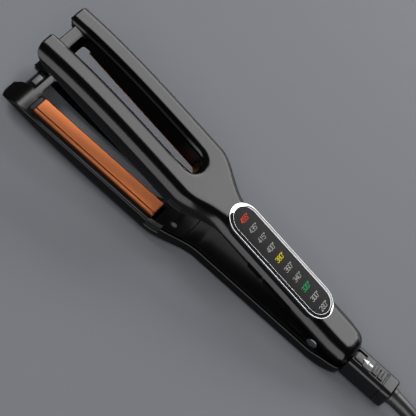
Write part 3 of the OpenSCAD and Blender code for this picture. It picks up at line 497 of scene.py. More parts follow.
def shell_stations():
    """Places along the arm, each with a flag for which side of a step it is on."""
    xs = [X_TIP + t for t in quarter(1.7, 7)] + [X_TIP + t for t in quarter(TIP_ROUND, 12)]
    xs += list(np.arange(X_TIP + 6, X_PAD, 0.8)) + list(np.arange(X_PAD, SLOT_BACK, 1.6)) + [SLOT_BACK]
    xs += [SLOT_BACK + SLOT_HALF * sin(a) for a in steps(0, pi / 2, 12)]
    xs += [SLOT_END + t for t in quarter(INNER_SHOULDER, 8)]
    xs += [SLOT_END + INNER_WALL, SLOT_END + INNER_WALL - 0.15]
    xs += list(np.arange(SLOT_BACK + 11.5, X_GRIP, 1.3)) + list(np.arange(X_GRIP, X_TAPER, 2.6))
    xs += list(np.arange(X_TAPER, X_TAIL - 3.4, 0.8)) + [X_TAIL - t for t in quarter(3.4, 8)]
    xs = sorted(set(round(float(x), 4) for x in xs))
    keep = [xs[0]]
    for x in xs[1:]:
        if x - keep[-1] > 0.02:
            keep.append(x)
    out = [(x, 0) for x in keep]
    for step in (NOSE_STEP, *VENT_STEPS, END_STEP):
        out = [s for s in out if abs(s[0] - step) > 0.12]
        out += [(step, 0), (step, 1)]
    return sorted(out)


def build_shell(arm, top, rim, hollow, end_half, end_ceil, grip_edge, tail_r, extra):
    """Half sections at every station, mirrored. hollow is the height of its ceiling; end_half and end_ceil are its
    half width and height at the tail, which a tail_r other than 0 rounds and closes above end_ceil."""
    place, around, rows = ARMS[arm], outline(tail_r), []
    for x, after in shell_stations():
        t, low = top(x), (nose_low(x) if x < X_PAD else rim(x))
        w, yi = body_half(x, tail_r), inner_half(x)
        in_vent = (VENT_STEPS[0], 1) <= (x, after) <= (VENT_STEPS[1], 0)
        ending = (x, after) >= (END_STEP, 1)
        low = end_ceil if ending and tail_r else low
        solid = (x, after) <= (NOSE_STEP, 0) or (ending and tail_r)
        low_out = max(low, VENT_TOP + FIT) if in_vent else low
        most = t - low_out - LEAST_SIDE
        most = blend(most, min(most, t - end_ceil - 0.7), smooth((x - X_TAIL + 9) / 6.4))
        yt = inner_half(x, INNER_WALL) if not ending else 0.0
        wt = min(w - WALL, end_half) if ending else w - WALL
        m, z = waist(x), []
        reach = [blend(a, b, m) for a, b in zip(HEAD_EDGE[0], grip_edge[0])]
        reach = [d * min(1, 0.5 * (w - yi) / reach[-1]) for d in reach]
        ys = [yi + d for d in quarter(min(INNER_SHOULDER, 0.42 * (w - yi)), 8)]
        far = [w - d for d in reach[::-1]]
        tops = ys + [blend(ys[-1], far[0], i / 12) for i in range(1, 12)] + far
        points = [(x, y) for y in tops]
        for y, out, slot in zip(tops, seg_dist(points, around), seg_dist(points, inner_line)):
            side = HEAD_HALF - y if x < X_PLATE1 else out
            drops = [blend(fall(HEAD_EDGE, side), fall(grip_edge, side, most), m)]
            if x < SLOT_BACK + 16:
                drops.append(fall(SLOT_EDGE, y - SLOT_HALF if x < SLOT_BACK else slot))
            if x < X_TIP + 7:
                drops.append(fall(TIP_EDGE, min(out, slot), min(t - low - LEAST_SIDE, most)))
            z.append(t - max(drops))
        under = [z[min(range(len(tops)), key=lambda k: abs(tops[k] - v))] for v in (yt, wt)]
        ceil = low if solid else min(end_ceil if ending else hollow, under[0] - TOP_WALL, t - 2.2)
        ceil_out = max(low_out, min(ceil, under[1] - (0.5 if ending else TOP_WALL)))
        # rounding of the rim, inside and outside, and the hollow's chamfer
        b_in = min(0.3, 0.25 * (z[0] - low)) if x > -128.2 else 0.01
        b_out = min(1.0 if x > X_PAD or x < X_TIP + 1 else 0.5, 0.4 * (z[-1] - low_out))
        c = 0.0 if solid else 0.15
        ring = [(yt, max(ceil, low)), (yt, low + c), (max(0.0, yt - c), low),
                (yi + (b_in if yi > 0 else 0), low), (yi, low + b_in), (yi, z[0] - 0.001)]
        ring += list(zip(tops, z))
        ring += [(w - b_out * (1 - cos(a)), low_out + b_out * (1 - sin(a))) for a in steps(0, pi / 2, 4)]
        ring += [(min(wt + c, w - b_out), low_out), (wt, low_out + c), (wt, max(ceil_out, low_out + c))]
        rows.append((yi, yt, [(x, y, h) for y, h in ring]))
    bm, n = bmesh.new(), len(rows[0][2])
    for side in (1, -1):
        grid = [[bm.verts.new(place((x, side * y, z))) for x, y, z in row[2]] for row in rows]
        for i in range(len(rows) - 1):
            # behind the slot the two halves meet, and its wall has no faces
            no_slot = rows[i][0] < 1e-6 and rows[i + 1][0] < 1e-6
            no_wall = rows[i][1] < 1e-6 and rows[i + 1][1] < 1e-6
            for j in range(n):
                if (no_slot and j in (3, 4, 5)) or (no_wall and j in (0, 1, 2)):
                    continue
                k = (j + 1) % n
                bm.faces.new((grid[i][j], grid[i][k], grid[i + 1][k], grid[i + 1][j]))
        bm.faces.new(grid[0][3:-3])
        bm.faces.new([grid[-1][0]] + grid[-1][6:])
    # bridge between the prongs, with rounded corners at the slot and a ledge for the tab
    rings = []
    for z, front, back in ((RIM_H + 0.004, -134.6, -131.25), (RIM_H + 0.12, -135.4, -131.06),
                           (RIM_H + 0.45, -136.05, -131), (RIM_H + 1, -136.4, -131),
                           (RIM_H + 1.6, -136.5, -131), (4.75, -136.5, -132.4),
                           (4.8, -136.6, -132.5), (4.8, -140.7, -132.5), (5.0, -141.1, -132.7),
                           (7.3, -143.0, -134.9), (7.8, -142.9, -135.4), (8.1, -142.3, -136)):
        side, r = SLOT_HALF + 1, 3.0
        ring = [(front, -side), (back + r, -side)]
        ring += [(back + r + r * cos(a), 0.02 - SLOT_HALF + r + r * sin(a))
                 for a in (pi * (1.5 - i / 16) for i in range(9))]
        ring += [(x, -y) for x, y in ring[::-1]]
        rings.append([(x, y, z) for x, y in ring])
    add_rings(bm, rings, place)
    extra(bm)
    finish_mesh(bm, f"{arm}_shell", f"{arm}_arm", "shell", [f"{arm}_shell"], weld=2e-6)


# ==== plates
def build_plate(arm, side):
    """Bar with a groove along its outer edge; the far one has a flange that reaches the slot."""
    word = "far" if side > 0 else "near"
    z0, z1, w, rest_y = 0.1, 3.1, PLATE_W, -PLATE_W / 2
    prof = [(3.3, z0), (3.4, z0 + 0.1), (3.44, z0 + 1.5), (4.26, z0 + 1.5), (4.3, z0 + 0.12), (4.4, z0 + 0.03)]
    prof += arc(w / 2 - 0.5, z0 + 0.5, 0.5, -88, 0, 6) + [(w / 2, z1), (rest_y, z1)]
    if side > 0:
        prof += [(rest_y, z0 + 0.75), (rest_y - 1.75, z0 + 0.75)]
        prof += arc(0.25 - w / 2 - 1.75, z0 + 0.25, 0.25, 180, 270, 4)
    else:
        prof += arc(0.4 - w / 2, z0 + 0.4, 0.4, 180, 270, 6)
    ends = [(X_PLATE0 + d, 0.5 - sqrt(max(0.0, 0.25 - (0.5 - d) ** 2))) for d in quarter(0.5, 4)]
    rings = ends + [(x, 0.0) for x in np.linspace(X_PLATE0 + 4, X_PLATE1 - 4, 12)]
    rings += [(2 * (X_PLATE0 + PLATE_LEN / 2) - x, k) for x, k in ends[::-1]]

    def section(x, k):
        """The profile drawn in by k at the rounded ends."""
        return [(x, side * (PLATE_Y + y * (1 - k / (w / 2))), z + (k if z < 1.5 else 0) * (1 - (z - z0) / 3))
                for y, z in prof]
    piece(f"{arm}_plate_{word}", f"{arm}_{word}_plate", "plate",
          lambda bm: add_rings(bm, [section(x, k) for x, k in rings], ARMS[arm]), [f"{arm}_plate_{word}"])


for arm in ("lower", "upper"):
    for side in (-1, 1):
        build_plate(arm, side)


# ==== solids from outlines
def offset(line, d):
    """Closed counterclockwise outline moved inward by d, with mitred corners."""
    out = []
    for i, (bx, by) in enumerate(line):
        (ax, ay), (cx, cy) = line[i - 1], line[(i + 1) % len(line)]
        lu, lv = hypot(bx - ax, by - ay) or 1e9, hypot(cx - bx, cy - by) or 1e9
        nx, ny = -((by - ay) / lu + (cy - by) / lv), (bx - ax) / lu + (cx - bx) / lv
        k = nx * nx + ny * ny
        out.append((bx + 2 * d * nx / k, by + 2 * d * ny / k) if k > 0.2 else (bx, by))
    return out


def hole(x, y, r):
    """Clockwise circle."""
    return [(x + r * cos(a), y - r * sin(a)) for a in steps(0, 2 * pi, 24)[:-1]]


def tidy_line(line):
    """The outline without points that lie on each other."""
    out, least = [line[0]], 1e-4
    for q in line[1:]:
        if hypot(q[0] - out[-1][0], q[1] - out[-1][1]) > least:
            out.append(q)
    return out[:-1] if hypot(out[0][0] - out[-1][0], out[0][1] - out[-1][1]) <= least else out


def layered(bm, line, profile, place, loop=False):
    """Solid through copies of an outline; the profile gives how far each lies inward, and its height."""
    line = tidy_line(line)
    rings = [[(u, v, h) for u, v in (offset(line, d) if d else line)] for d, h in profile]
    add_rings(bm, rings, place, loop)


def soft(h0, h1, r0, r1, n=4):
    """Profile of a block with rounded lower and upper edges."""
    turn = steps(0, pi / 2, n)
    low = [(r0 * (1 - sin(a)), h0 + r0 * (1 - cos(a))) for a in turn] if r0 else [(0, h0)]
    high = [(r1 * (1 - cos(a)), h1 - r1 * (1 - sin(a))) for a in turn] if r1 else [(0, h1)]
    return low + high


def box_line(x0, x1, y0, y1, r, n=4):
    cx, cy = (x0 + x1) / 2, (y0 + y1) / 2
    return [(cx + u, cy + v) for u, v in rounded_rect(x1 - x0, y1 - y0, r, n)]


def soft_box(bm, x0, x1, y0, y1, z0, z1, place, r, edge):
    layered(bm, box_line(x0, x1, y0, y1, r), soft(z0, z1, edge, edge, 3), place)


def lathe(bm, profile, place, n):
    """Solid of revolution: the profile gives place along the axis and radius."""
    turn = steps(0, 2 * pi, n)[:-1]
    add_rings(bm, [[(t, r * cos(a), r * sin(a)) for a in turn] for t, r in profile], place)


def sheet(bm, loops, profile, cuts, low, high, place):
    """Panel with holes whose faces follow low(x) and high(x). The first loop runs counterclockwise, holes
    clockwise. The profile gives distance inward, which face the height counts from, and that height.
    Until the panel is bent, a height that counts from the high face carries 1000."""
    lid = {0: [], -1: []}
    for line in map(tidy_line, loops):
        rows = [[bm.verts.new((x, y, 1000 * k + h)) for x, y in (offset(line, d) if d else line)]
                for d, k, h in profile]
        skin(bm, rows)
        for end, edges in lid.items():
            edges += [bm.edges.get(pair) for pair in zip(rows[end], rows[end][1:] + rows[end][:1])]
    for edges in lid.values():
        bmesh.ops.triangle_fill(bm, use_beauty=True, edges=edges)
    for x in cuts:
        bmesh.ops.bisect_plane(bm, geom=bm.verts[:] + bm.edges[:] + bm.faces[:], plane_co=(x, 0, 0),
                               plane_no=(1, 0, 0))
    for v in bm.verts:
        x, y, h = v.co
        v.co = place((x, y, high(x) + h - 1000 if h > 500 else low(x) + h))


def seat_of_panel(bm):
    """Raised seat round the chrome ring."""
    layered(bm, stadium(RING_X0 - 0.45, RING_X1 + 0.45, RING_HALF + 0.45),
            [(0, 8.6), (0, 11.95), (0.1, 12.25), (0.35, 12.4), (1.4, 12.4), (2.0, 10.4), (1.4, 8.6)],
            upper_arm, loop=True)


def recess_of_bridge(bm):
    """Small round recess beside the locating tab."""
    layered(bm, hole(-138.7, 6.2, 0.85)[::-1], [(0, 4.9), (0, 4.66), (0.22, 4.6), (0.4, 4.7), (0.4, 4.9)],
            lower_arm, loop=True)


# ==== control panel
def stadium(x0, x1, half):
    turn = [pi * (i / 26 - 0.5) for i in range(27)]
    line = [(x1 - half + half * cos(a), half * sin(a)) for a in turn]
    line += [(blend(x1 - half, x0 + half, i / 5), half) for i in range(1, 5)]
    line += [(x0 + half - half * cos(a), -half * sin(a)) for a in turn]
    return line + [(blend(x0 + half, x1 - half, i / 5), -half) for i in range(1, 5)]


build_shell("lower", lower_top, lower_rim, 10.5, 6.7, 10.6, LOWER_GRIP_EDGE, 0.0, recess_of_bridge)
build_shell("upper", upper_top, upper_rim, 9.9, 8.95, 7.25, GRIP_EDGE, 8.0, seat_of_panel)

# a gentle slope between two thin crests
RING_PROFILE = [(0, 11.45), (0, 13.26), (0.03, 13.33), (0.08, 13.36), (0.26, 13.37), (0.3, 13.38), (2.36, 13.77),
                (2.41, 13.8), (2.46, 13.81), (2.54, 13.81), (2.59, 13.77), (2.66, 13.6), (2.7, 13.4), (2.7, 11.45)]
piece("chrome_ring", "upper_arm", "ring",
      lambda bm: layered(bm, stadium(RING_X0, RING_X1, RING_HALF), RING_PROFILE, upper_arm, loop=True),
      ["panel_ring"], sharp=24)
WINDOW_HALF = RING_HALF - RING_BAND - FIT
piece("satin_window", "upper_arm", "window",
      lambda bm: layered(bm, stadium(RING_X0 + RING_BAND + FIT, RING_X1 - RING_BAND - FIT, WINDOW_HALF),
                         soft(11.45, WINDOW_Z, 0.2, 0.3), upper_arm), ["panel_window"])

# each figure as lines in hundredths of its width, 170 high: whether a line is closed, and its points
GLYPHS = {
    "0": [(True, [25, 0, 75, 0, 100, 25, 100, 145, 75, 170, 25, 170, 0, 145, 0, 25])],
    "1": [(False, [25, 140, 62, 170, 62, 0])],
    "2": [(False, [0, 140, 25, 170, 75, 170, 100, 142, 100, 110, 5, 0, 102, 0])],
    "3": [(False, [0, 145, 25, 170, 75, 170, 100, 145, 100, 112, 75, 90, 100, 65, 100, 25, 75, 0, 25, 0, 0, 25]),
          (False, [40, 90, 75, 90])],
    "4": [(False, [78, 0, 78, 170, 0, 50, 108, 50])],
    "5": [(False, [95, 170, 10, 170, 5, 98, 72, 100, 100, 75, 100, 25, 75, 0, 25, 0, 0, 22])],
    "6": [(False, [95, 150, 75, 170, 25, 170, 0, 145, 0, 25, 25, 0, 75, 0, 100, 25, 100, 70, 75, 95, 5, 95])],
    "8": [(True, [25, 0, 75, 0, 100, 22, 100, 66, 75, 88, 25, 88, 0, 66, 0, 22]),
          (True, [28, 88, 72, 88, 95, 108, 95, 148, 72, 170, 28, 170, 5, 148, 5, 108])],
    "o": [(True, [13, 130, 33, 130, 42, 142, 42, 158, 33, 170, 13, 170, 4, 158, 4, 142])],
}
STROKE, GLYPH, GLYPH_STEP, MARK_PITCH, MARK_X, MARK_Y = 0.23, 1.8, 2.32, 7.856, 7.9, 0.12


def ribbon(bm, line, closed, half, z0, z1, put):
    """Flat band of even width along a line."""
    n, rings = len(line), []
    for i, (x, y) in enumerate(line):
        before = line[i - 1] if i or closed else None
        after = line[(i + 1) % n] if i < n - 1 or closed else None
        dirs = []
        for (ax, ay), (bx, by) in [pair for pair in ((before, (x, y)), ((x, y), after)) if all(pair)]:
            length = hypot(bx - ax, by - ay)
            dirs.append(((bx - ax) / length, (by - ay) / length))
        nx, ny = -sum(d[1] for d in dirs), sum(d[0] for d in dirs)
        k = 2 * half / (nx * nx + ny * ny) if len(dirs) == 2 else half
        ex, ey = (0, 0) if len(dirs) == 2 else ((-dirs[0][0], -dirs[0][1]) if after else dirs[0])
        cx, cy = x + ex * half, y + ey * half
        b = 0.05  # bevel of the upper edges
        s = k * (1 - b / half)
        rings.append([put(cx + f * nx, cy + f * ny, z) for f, z in ((k, z0), (-k, z0), (-k, z1 - b), (-s, z1),
                                                                    (s, z1), (k, z1 - b))])
    grid = [[bm.verts.new(p) for p in ring] for ring in rings]
    skin(bm, grid, closed)
    if not closed:
        bm.faces.new(grid[0])
        bm.faces.new(grid[-1])


TEMPERATURES = ("455", "435", "415", "400", "380", "360", "340", "320", "300", "280")


def numbers(bm, which):
    for i in which:
        for j, char in enumerate(TEMPERATURES[i] + "o"):
            def put(u, v, z):
                return upper_arm((MARK_X + i * MARK_PITCH - (v - 0.85 * GLYPH), MARK_Y - 3.8 + j * GLYPH_STEP + u, z))
            for closed, line in GLYPHS[char]:
                points = [(u / 100 * GLYPH, v / 100 * GLYPH) for u, v in zip(line[::2], line[1::2])]
                ribbon(bm, points, closed, STROKE / 2, WINDOW_Z - 0.05, WINDOW_Z + 0.1, put)


for tone, which in (("red", (0,)), ("yellow", (4,)), ("green", (7,)), ("grey", (1, 2, 3, 5, 6, 8, 9))):
    piece(f"numbers_{tone}", "upper_arm", "mark", lambda bm: numbers(bm, which), ["temperature_marks"],
          mat=M[f"mark_{tone}"])


# ==== inner frames and handle covers
def plan(x0, x1, inset, n):
    """Outline of the arm between x0 and x1, seen from above and drawn in by inset."""
    xs = steps(x0, x1, n)
    return [(x, inset - half_w(x)) for x in xs] + [(x, half_w(x) - inset) for x in xs[::-1]]


FRAME_X0, SCREW_X, SCREW_Y, SCREW_HEAD = -134.6, -17.7, 13.8, 4.2


def frame_line():
    """Outline of the inner frame, with the pockets of the plates and the slot between them."""
    r0, r1 = SLOT_HALF + INNER_WALL + FIT, 1.2
    x0, x1 = X_PLATE0 - 3.4, X_PLATE0 + PLATE_LEN + 2.7
    y0, y1 = 9.05, PLATE_Y + PLATE_W / 2 + SLIDE
    turn = steps(0, pi / 2, 5)
    half = [(FRAME_X0, 8.8), (x0, 8.8)]
    half += [(x0 + r1 - r1 * cos(a), y1 - r1 + r1 * sin(a)) for a in turn]
    half += [(x1 - r1 + r1 * sin(a), y1 - r1 + r1 * cos(a)) for a in turn] + [(x1, y0)]
    start = asin(y0 / r0)
    half += [(SLOT_BACK + r0 * cos(a), r0 * sin(a)) for a in (start * (1 - i / 12) for i in range(12))]
    outer = plan(FRAME_X0, X_SEAM - 0.05, WALL + FIT, 60)
    return outer + half + [(SLOT_BACK + r0, 0)] + [(x, -y) for x, y in half[::-1]]


for arm, face in (("lower", lower_face), ("upper", upper_face)):
    def build_frame(bm):
        loops = [frame_line()] + [hole(SCREW_X, side * SCREW_Y, SCREW_HEAD / 2 + FIT) for side in (-1, 1)]
        # the pad before the pockets lies below the shell's skin
        sheet(bm, loops, [(0.28, 0, 0), (0.14, 0, 0.04), (0.04, 0, 0.14), (0, 0, 0.28), (0, 1, 0)],
              [X_POCKET] + list(np.arange(X_PLATE1, X_SEAM - 0.5, 1.6)),
              lambda x: face(x) + (0.5 if x < X_POCKET - 0.01 else 0), lambda x: face(x) + 3, ARMS[arm])
    piece(f"{arm}_inner_frame_moulded", f"{arm}_arm", "frame", build_frame, [f"{arm}_inner_frame"])

COVER_PROFILE = [(1.0, 0, 0), (0.8, 0, 0.06), (0.65, 0, 0.2), (0.6, 0, 0.4), (0.6, 1, -1.3), (1.9, 1, -1.3),
                 (1.9, 1, 0)]
CHEEK_Y0, CHEEK_Y1, BARREL_R, HEAD_R, X_COVER1, X_COVER2 = 9.05, 12.45, 4.0, 3.7, 96.9, 102.9
BARREL_Y0, BARREL_Y1 = -8.8, 2.11
BUTTON_X = (34.5, 47.9, 59.5)
WAIST_CUTS = list(np.arange(-6, X_GRIP + 1, 1.4))


def hinge_line(z, x0, x1, z_top):
    """Outline of a barrel with the block that carries it, seen along the pin."""
    s = 1 if z_top > z else -1
    line = [(X_HINGE + BARREL_R * cos(a), z - s * BARREL_R * sin(a)) for a in steps(0, pi, 24)]
    return (line + [(x0, z), (x0, z_top), (x1, z_top), (x1, z)])[::s]


def lower_cover(bm):
    """Panel with the two cheeks that hold the hinge pin."""
    sheet(bm, [plan(X_SEAM + FIT - 0.55, X_COVER1 + 0.6, 0, 90)], COVER_PROFILE, WAIST_CUTS, lower_face,
          lambda x: lower_rim(x) + 1.2, lower_arm)
    for side in (-1, 1):
        layered(bm, hinge_line(HINGE_DROP, X_HINGE - 8, X_HINGE + 4, 5.5), soft(CHEEK_Y0, CHEEK_Y1, 0.5, 0.5),
                lambda p: lower_arm((p[0], side * p[2], p[1])))
        soft_box(bm, X_HINGE - 20.4, X_HINGE - 8, *sorted((side * 9.65, side * 12.25)), 2.4, 5.6, lower_arm,
                 0.8, 0.5)


def upper_cover(bm):
    """Panel with pockets for the buttons and the barrel that turns on the hinge pin."""
    y0, y1, d = -13.95, -8.15, 3.75
    pockets = [[(x - d, y0), (x - d, y1), (x + d, y1), (x + d, y0)] for x in BUTTON_X]
    sheet(bm, [plan(X_SEAM + FIT - 0.55, X_COVER2 + 0.6, 0, 90)] + pockets, COVER_PROFILE,
          WAIST_CUTS + steps(X_GRIP + 6, X_COVER2 - 6, 10), upper_face, lambda x: upper_rim(x) + 1.2, upper_arm)
    layered(bm, hinge_line(-HINGE_DROP, X_HINGE - 3, X_HINGE + 3, 3.2), soft(BARREL_Y0, BARREL_Y1, 0.4, 0.4),
            lambda p: upper_arm((p[0], p[2], p[1])))


piece("lower_cover_moulded", "lower_arm", "cover", lower_cover, ["lower_handle_cover"])
piece("upper_cover_moulded", "upper_arm", "cover", upper_cover, ["upper_handle_cover"])

for name, x in zip(("power", "minus", "plus"), BUTTON_X):
    def build_button(bm):
        face, top, under = upper_face(x) - 1.2, upper_rim(x) - 0.8, upper_rim(x) + 1.2
        sign = (face - 0.06, face + 0.3)
        soft_box(bm, x - 3.5, x + 3.5, -13.6, -8.4, face, top, upper_arm, 1.1, 0.5)
        # stem and flange behind the cover
        for half, z in ((3.3, face + 1), (4.3, under + 0.05)):
            soft_box(bm, x - half, x + half, -11.6, -8.4, z, under + 0.35, upper_arm, 0.4, 0.1)
        # sign on the cap: a ring for power, a bar for minus, a cross for plus
        if name == "power":
            layered(bm, hole(x, -11, 1.25)[::-1], [(0, sign[0]), (0, sign[1]), (0.35, sign[1]), (0.35, sign[0])],
                    upper_arm, loop=True)
        else:
            soft_box(bm, x - 0.22, x + 0.22, -12.3, -9.7, *sign, upper_arm, 0.15, 0.05)
            if name == "plus":
                soft_box(bm, x - 1.3, x + 1.3, -11.22, -10.78, *sign, upper_arm, 0.15, 0.05)
    piece(f"{name}_cap", f"{name}_key", "button", build_button, [f"{name}_button"])

# ==== vents, tab, hinge pin
for arm in ("lower", "upper"):
    def build_vents(bm):
        """On each side a back plate, an upper and a lower frame bar, and upright louvres between them."""
        end, front = VENT_X + VENT_LEN, VENT_SINK + 1.6
        edges = [VENT_X] + [VENT_X + 0.9 + i * 1.4 + e for i in range(6) for e in (0, 0.7)] + [end]
        slabs = [(VENT_X, end, VENT_SINK + 1.25, VENT_DEPTH, RIM_H, VENT_TOP, 0.1),
                 (VENT_X, end, VENT_SINK, front, RIM_H, RIM_H + 0.8, 0.15),
                 (VENT_X, end, VENT_SINK, front, VENT_TOP - 0.8, VENT_TOP, 0.15)]
        slabs += [(x0, x1, VENT_SINK, front, RIM_H + 0.5, VENT_TOP - 0.5, 0.0)
                  for x0, x1 in zip(edges[::2], edges[1::2])]
        for side in (-1, 1):
            for x0, x1, out, back, z0, z1, edge in slabs:
                xs = steps(x0, x1, 6 if x1 - x0 > 2 else 1)
                line = [(x, side * (half_w(x) - out)) for x in xs] + [(x, side * (half_w(x) - back)) for x in xs[::-1]]
                layered(bm, line if side < 0 else line[::-1], soft(z0, z1, edge, edge, 2), ARMS[arm])
    piece(f"{arm}_vent_louvres", f"{arm}_arm", "vent", build_vents, [f"{arm}_vents"])

for arm in ("lower", "upper"):
    for side, word in ((-1, "near"), (1, "far")):
        def build_tray(bm):
            def put(p):
                return ARMS[arm]((p[0], side * p[1], p[2]))
            x0 = X_PLATE0 + 2
            line = box_line(x0, X_PLATE1 - 2, PLATE_Y - 5.6, PLATE_Y + 5.6, 0.5)
            layered(bm, line, soft(4.5, 6.0, 0.1, 0.3), put)
            layered(bm, line, [(0, 3.12), (0, 4.6), (1.25, 4.6), (1.25, 3.12)], put, loop=True)
            # its front lip fills the pocket before the plate
            layered(bm, box_line(X_POCKET + 0.4, X_PLATE0 - 0.2, PLATE_Y - 6.1, PLATE_Y + 6.1, 1.4),
                    soft(1.3, 4.4, 0.4, 0.2), put)
            layered(bm, box_line(X_PLATE0 - 1, x0 + 1, PLATE_Y - 5, PLATE_Y + 5, 0.3), soft(3.3, 5.2, 0.1, 0.1), put)
        piece(f"{arm}_tray_{word}_moulded", f"{arm}_{word}_plate", "tray", build_tray, [f"{arm}_tray_{word}"])

piece("tab_moulded", "lower_arm", "tab",
      lambda bm: soft_box(bm, -140.6, -136.9, -4.2, 4.2, 3.9, 4.85, lower_arm, 0.5, 0.3), ["locating_tab"])


def build_pin(bm):
    """Pin with two domed heads, each with a small centre hole."""
    dome = [(13.1, 0.4), (13.35, 0.4), (13.35, 1.3), (13.22, 2.2), (13.0, 3.2), (12.85, 3.6), (12.7, HEAD_R),
            (12.56, 3.6), (12.56, 1.97)]
    lathe(bm, dome + [(-t, r) for t, r in dome[::-1]],
          lambda p: in_world((X_HINGE + p[1], p[0], BASE_H - HINGE_DROP + p[2])), 40)


piece("hinge_pin_turned", "lower_arm", "pin", build_pin, ["hinge_pin"])


# ==== tail sleeve, lock slider, collar
SLEEVE_ROUND = (2.4, 3.8, 3.8, 2.4)
SLIDER_HALF, SLIDER_FLOOR, SLIDER_X0, SLIDER_X1 = 4.7, SLEEVE_H / 2 - 1.7, 116.3, 138.8
SLIDER_Z = SLEEVE_Z + SLIDER_FLOOR + 0.05


def sleeve_line(shrink, floor):
    """Section of the sleeve with the channel of the slider, whose floor is at the top where it has none."""
    ring = rounded_rect(SLEEVE_W - 2 * shrink, SLEEVE_H - 2 * shrink, [r - shrink for r in SLEEVE_ROUND], 8)
    cut, top, at = SLIDER_HALF + SLIDE, SLEEVE_H / 2 - shrink, 18
    low = top if floor is None else floor
    return ring[:at] + [(cut, top), (cut, low), (-cut, low), (-cut, top)] + ring[at:]


def build_sleeve(bm):
    low = [(X_SLEEVE, 0.7), (X_SLEEVE + 0.1, 0.4), (X_SLEEVE + 0.35, 0.12), (X_SLEEVE + 0.8, 0)]
    low += [(x, 0) for x in steps(X_SLEEVE + 3, 138.4, 6)] + [(139.05, 0)]
    full = [(139.05, 0), (139.6, 0), (139.85, 0.1), (139.98, 0.35)]
    add_rings(bm, [[(x, y, SLEEVE_Z + z) for y, z in sleeve_line(g, floor)]
                   for part, floor in ((low, SLIDER_FLOOR), (full, None)) for x, g in part], in_world)
    # neck that reaches into the arm
    soft_box(bm, X_HINGE + 6.4, X_SLEEVE + 0.5, -6.5, 6.5, SLEEVE_Z - 6, SLEEVE_Z + 3.8, in_world, 0.8, 0.6)


piece("sleeve_moulded", "lower_arm", "sleeve", build_sleeve, ["tail_sleeve"])


def build_collar(bm):
    rings = []
    for x, g in ((140.1, 0.35), (140.22, 0.1), (140.5, 0), (143, 0), (145.6, 0), (146.8, 0.18), (147.5, 0.6),
                 (147.9, 1.25), (148.0, 2.0)):
        r = [max(0.4, v - g) for v in SLEEVE_ROUND]
        rings.append([(x, y, SLEEVE_Z + z) for y, z in rounded_rect(SLEEVE_W - 2 * g, SLEEVE_H - 2 * g, r, 8)])
    add_rings(bm, rings, in_world)


piece("collar_moulded", "lower_arm", "sleeve", build_collar, ["tail_collar"])


def build_slider(bm):
    z = SLIDER_Z
    soft_box(bm, SLIDER_X0, SLIDER_X0 + 8, -3.1, 3.1, z, z + 1.5, in_world, 1.2, 0.3)
    layered(bm, box_line(SLIDER_X0 + 6, 129, -SLIDER_HALF, SLIDER_HALF, 1.3), soft(z, z + 2.3, 0.1, 0.3),
            in_world)
    soft_box(bm, 128, SLIDER_X1, -SLIDER_HALF, SLIDER_HALF, z, z + 1.5, in_world, 1.2, 0.3)
    # thumb grip: a bar that winds to and fro
    for i in range(4):
        x = 129.6 + i * 2.25
        soft_box(bm, x, x + 1.5, -3.7, 3.7, z + 1, z + 2.6, in_world, 0.4, 0.2)
        if i < 3:
            y0, y1 = (2.4, 3.7) if i % 2 else (-3.7, -2.4)
            soft_box(bm, x + 0.5, x + 3, y0, y1, z + 1, z + 2.59, in_world, 0.3, 0.2)


def build_arrow(bm):
    head = [(120.9, 0), (125.2, -1.4), (125.2, 1.4)]
    shaft = [(125.7, -0.8), (128.4, -0.8), (128.4, 0.8), (125.7, 0.8)]
    for line in (shaft, head):
        layered(bm, line, soft(SLIDER_Z + 2.2, SLIDER_Z + 2.4, 0, 0.08, 1), in_world)


piece("slider_moulded", "lock", "slider", build_slider, ["lock_slider"])
piece("slider_arrow", "lock", "slider", build_arrow, ["lock_slider"], mat=M["mark"])


# ==== strain relief, tie, plug
def build_relief(bm):
    """Round taper along the cord's first bend, with a bead where it leaves the collar."""
    line = [Vector(p) for p in RELIEF]
    n = 64
    rings, total = [], [0.0]
    for a, b in zip(line, line[1:]):
        total.append(total[-1] + (b - a).length)
    for i in range(n + 1):
        t = total[-1] * i / n
        k = max(j for j in range(len(line) - 1) if total[j] <= t + 1e-9)
        f = (t - total[k]) / (total[k + 1] - total[k])
        at = line[k].lerp(line[k + 1], f)
        d = (line[min(k + 2, len(line) - 1)] - line[max(k - 1, 0)]).normalized()
        side = d.cross(Vector((0, 0, 1))).normalized()
        up = side.cross(d)
        r = blend(5.35, 3.95, i / n)
        if t < 2.4:
            r = 5.7 - 0.35 * smooth((t - 1.9) / 0.5)
        if i == n:
            r -= 0.3
        rings.append([tuple(at + side * (r * cos(a)) + up * (r * sin(a))) for a in steps(0, 2 * pi, 32)[:-1]])
    add_rings(bm, rings, in_world)


piece("relief_moulded", "lower_arm", "relief", build_relief, ["strain_relief"])


def build_tie(bm):
    line = box_line(-22, 33, 0.1, 29.5, 4.1, 8)
    profile = [(0.1, 262), (0, 262.15), (0, 269.85), (0.1, 270), (0.6, 270), (0.7, 269.85), (0.7, 262.15), (0.6, 262)]
    layered(bm, line, profile, lambda p: in_world((p[2], p[0], p[1])), loop=True)
    # pad of the fastener where the strap overlaps itself
    soft_box(bm, 262.2, 269.8, -4, 14, 29.35, 29.5, in_world, 0.8, 0.05)


piece("tie_strap_woven", "lower_arm", "tie", build_tie, ["cord_tie"])


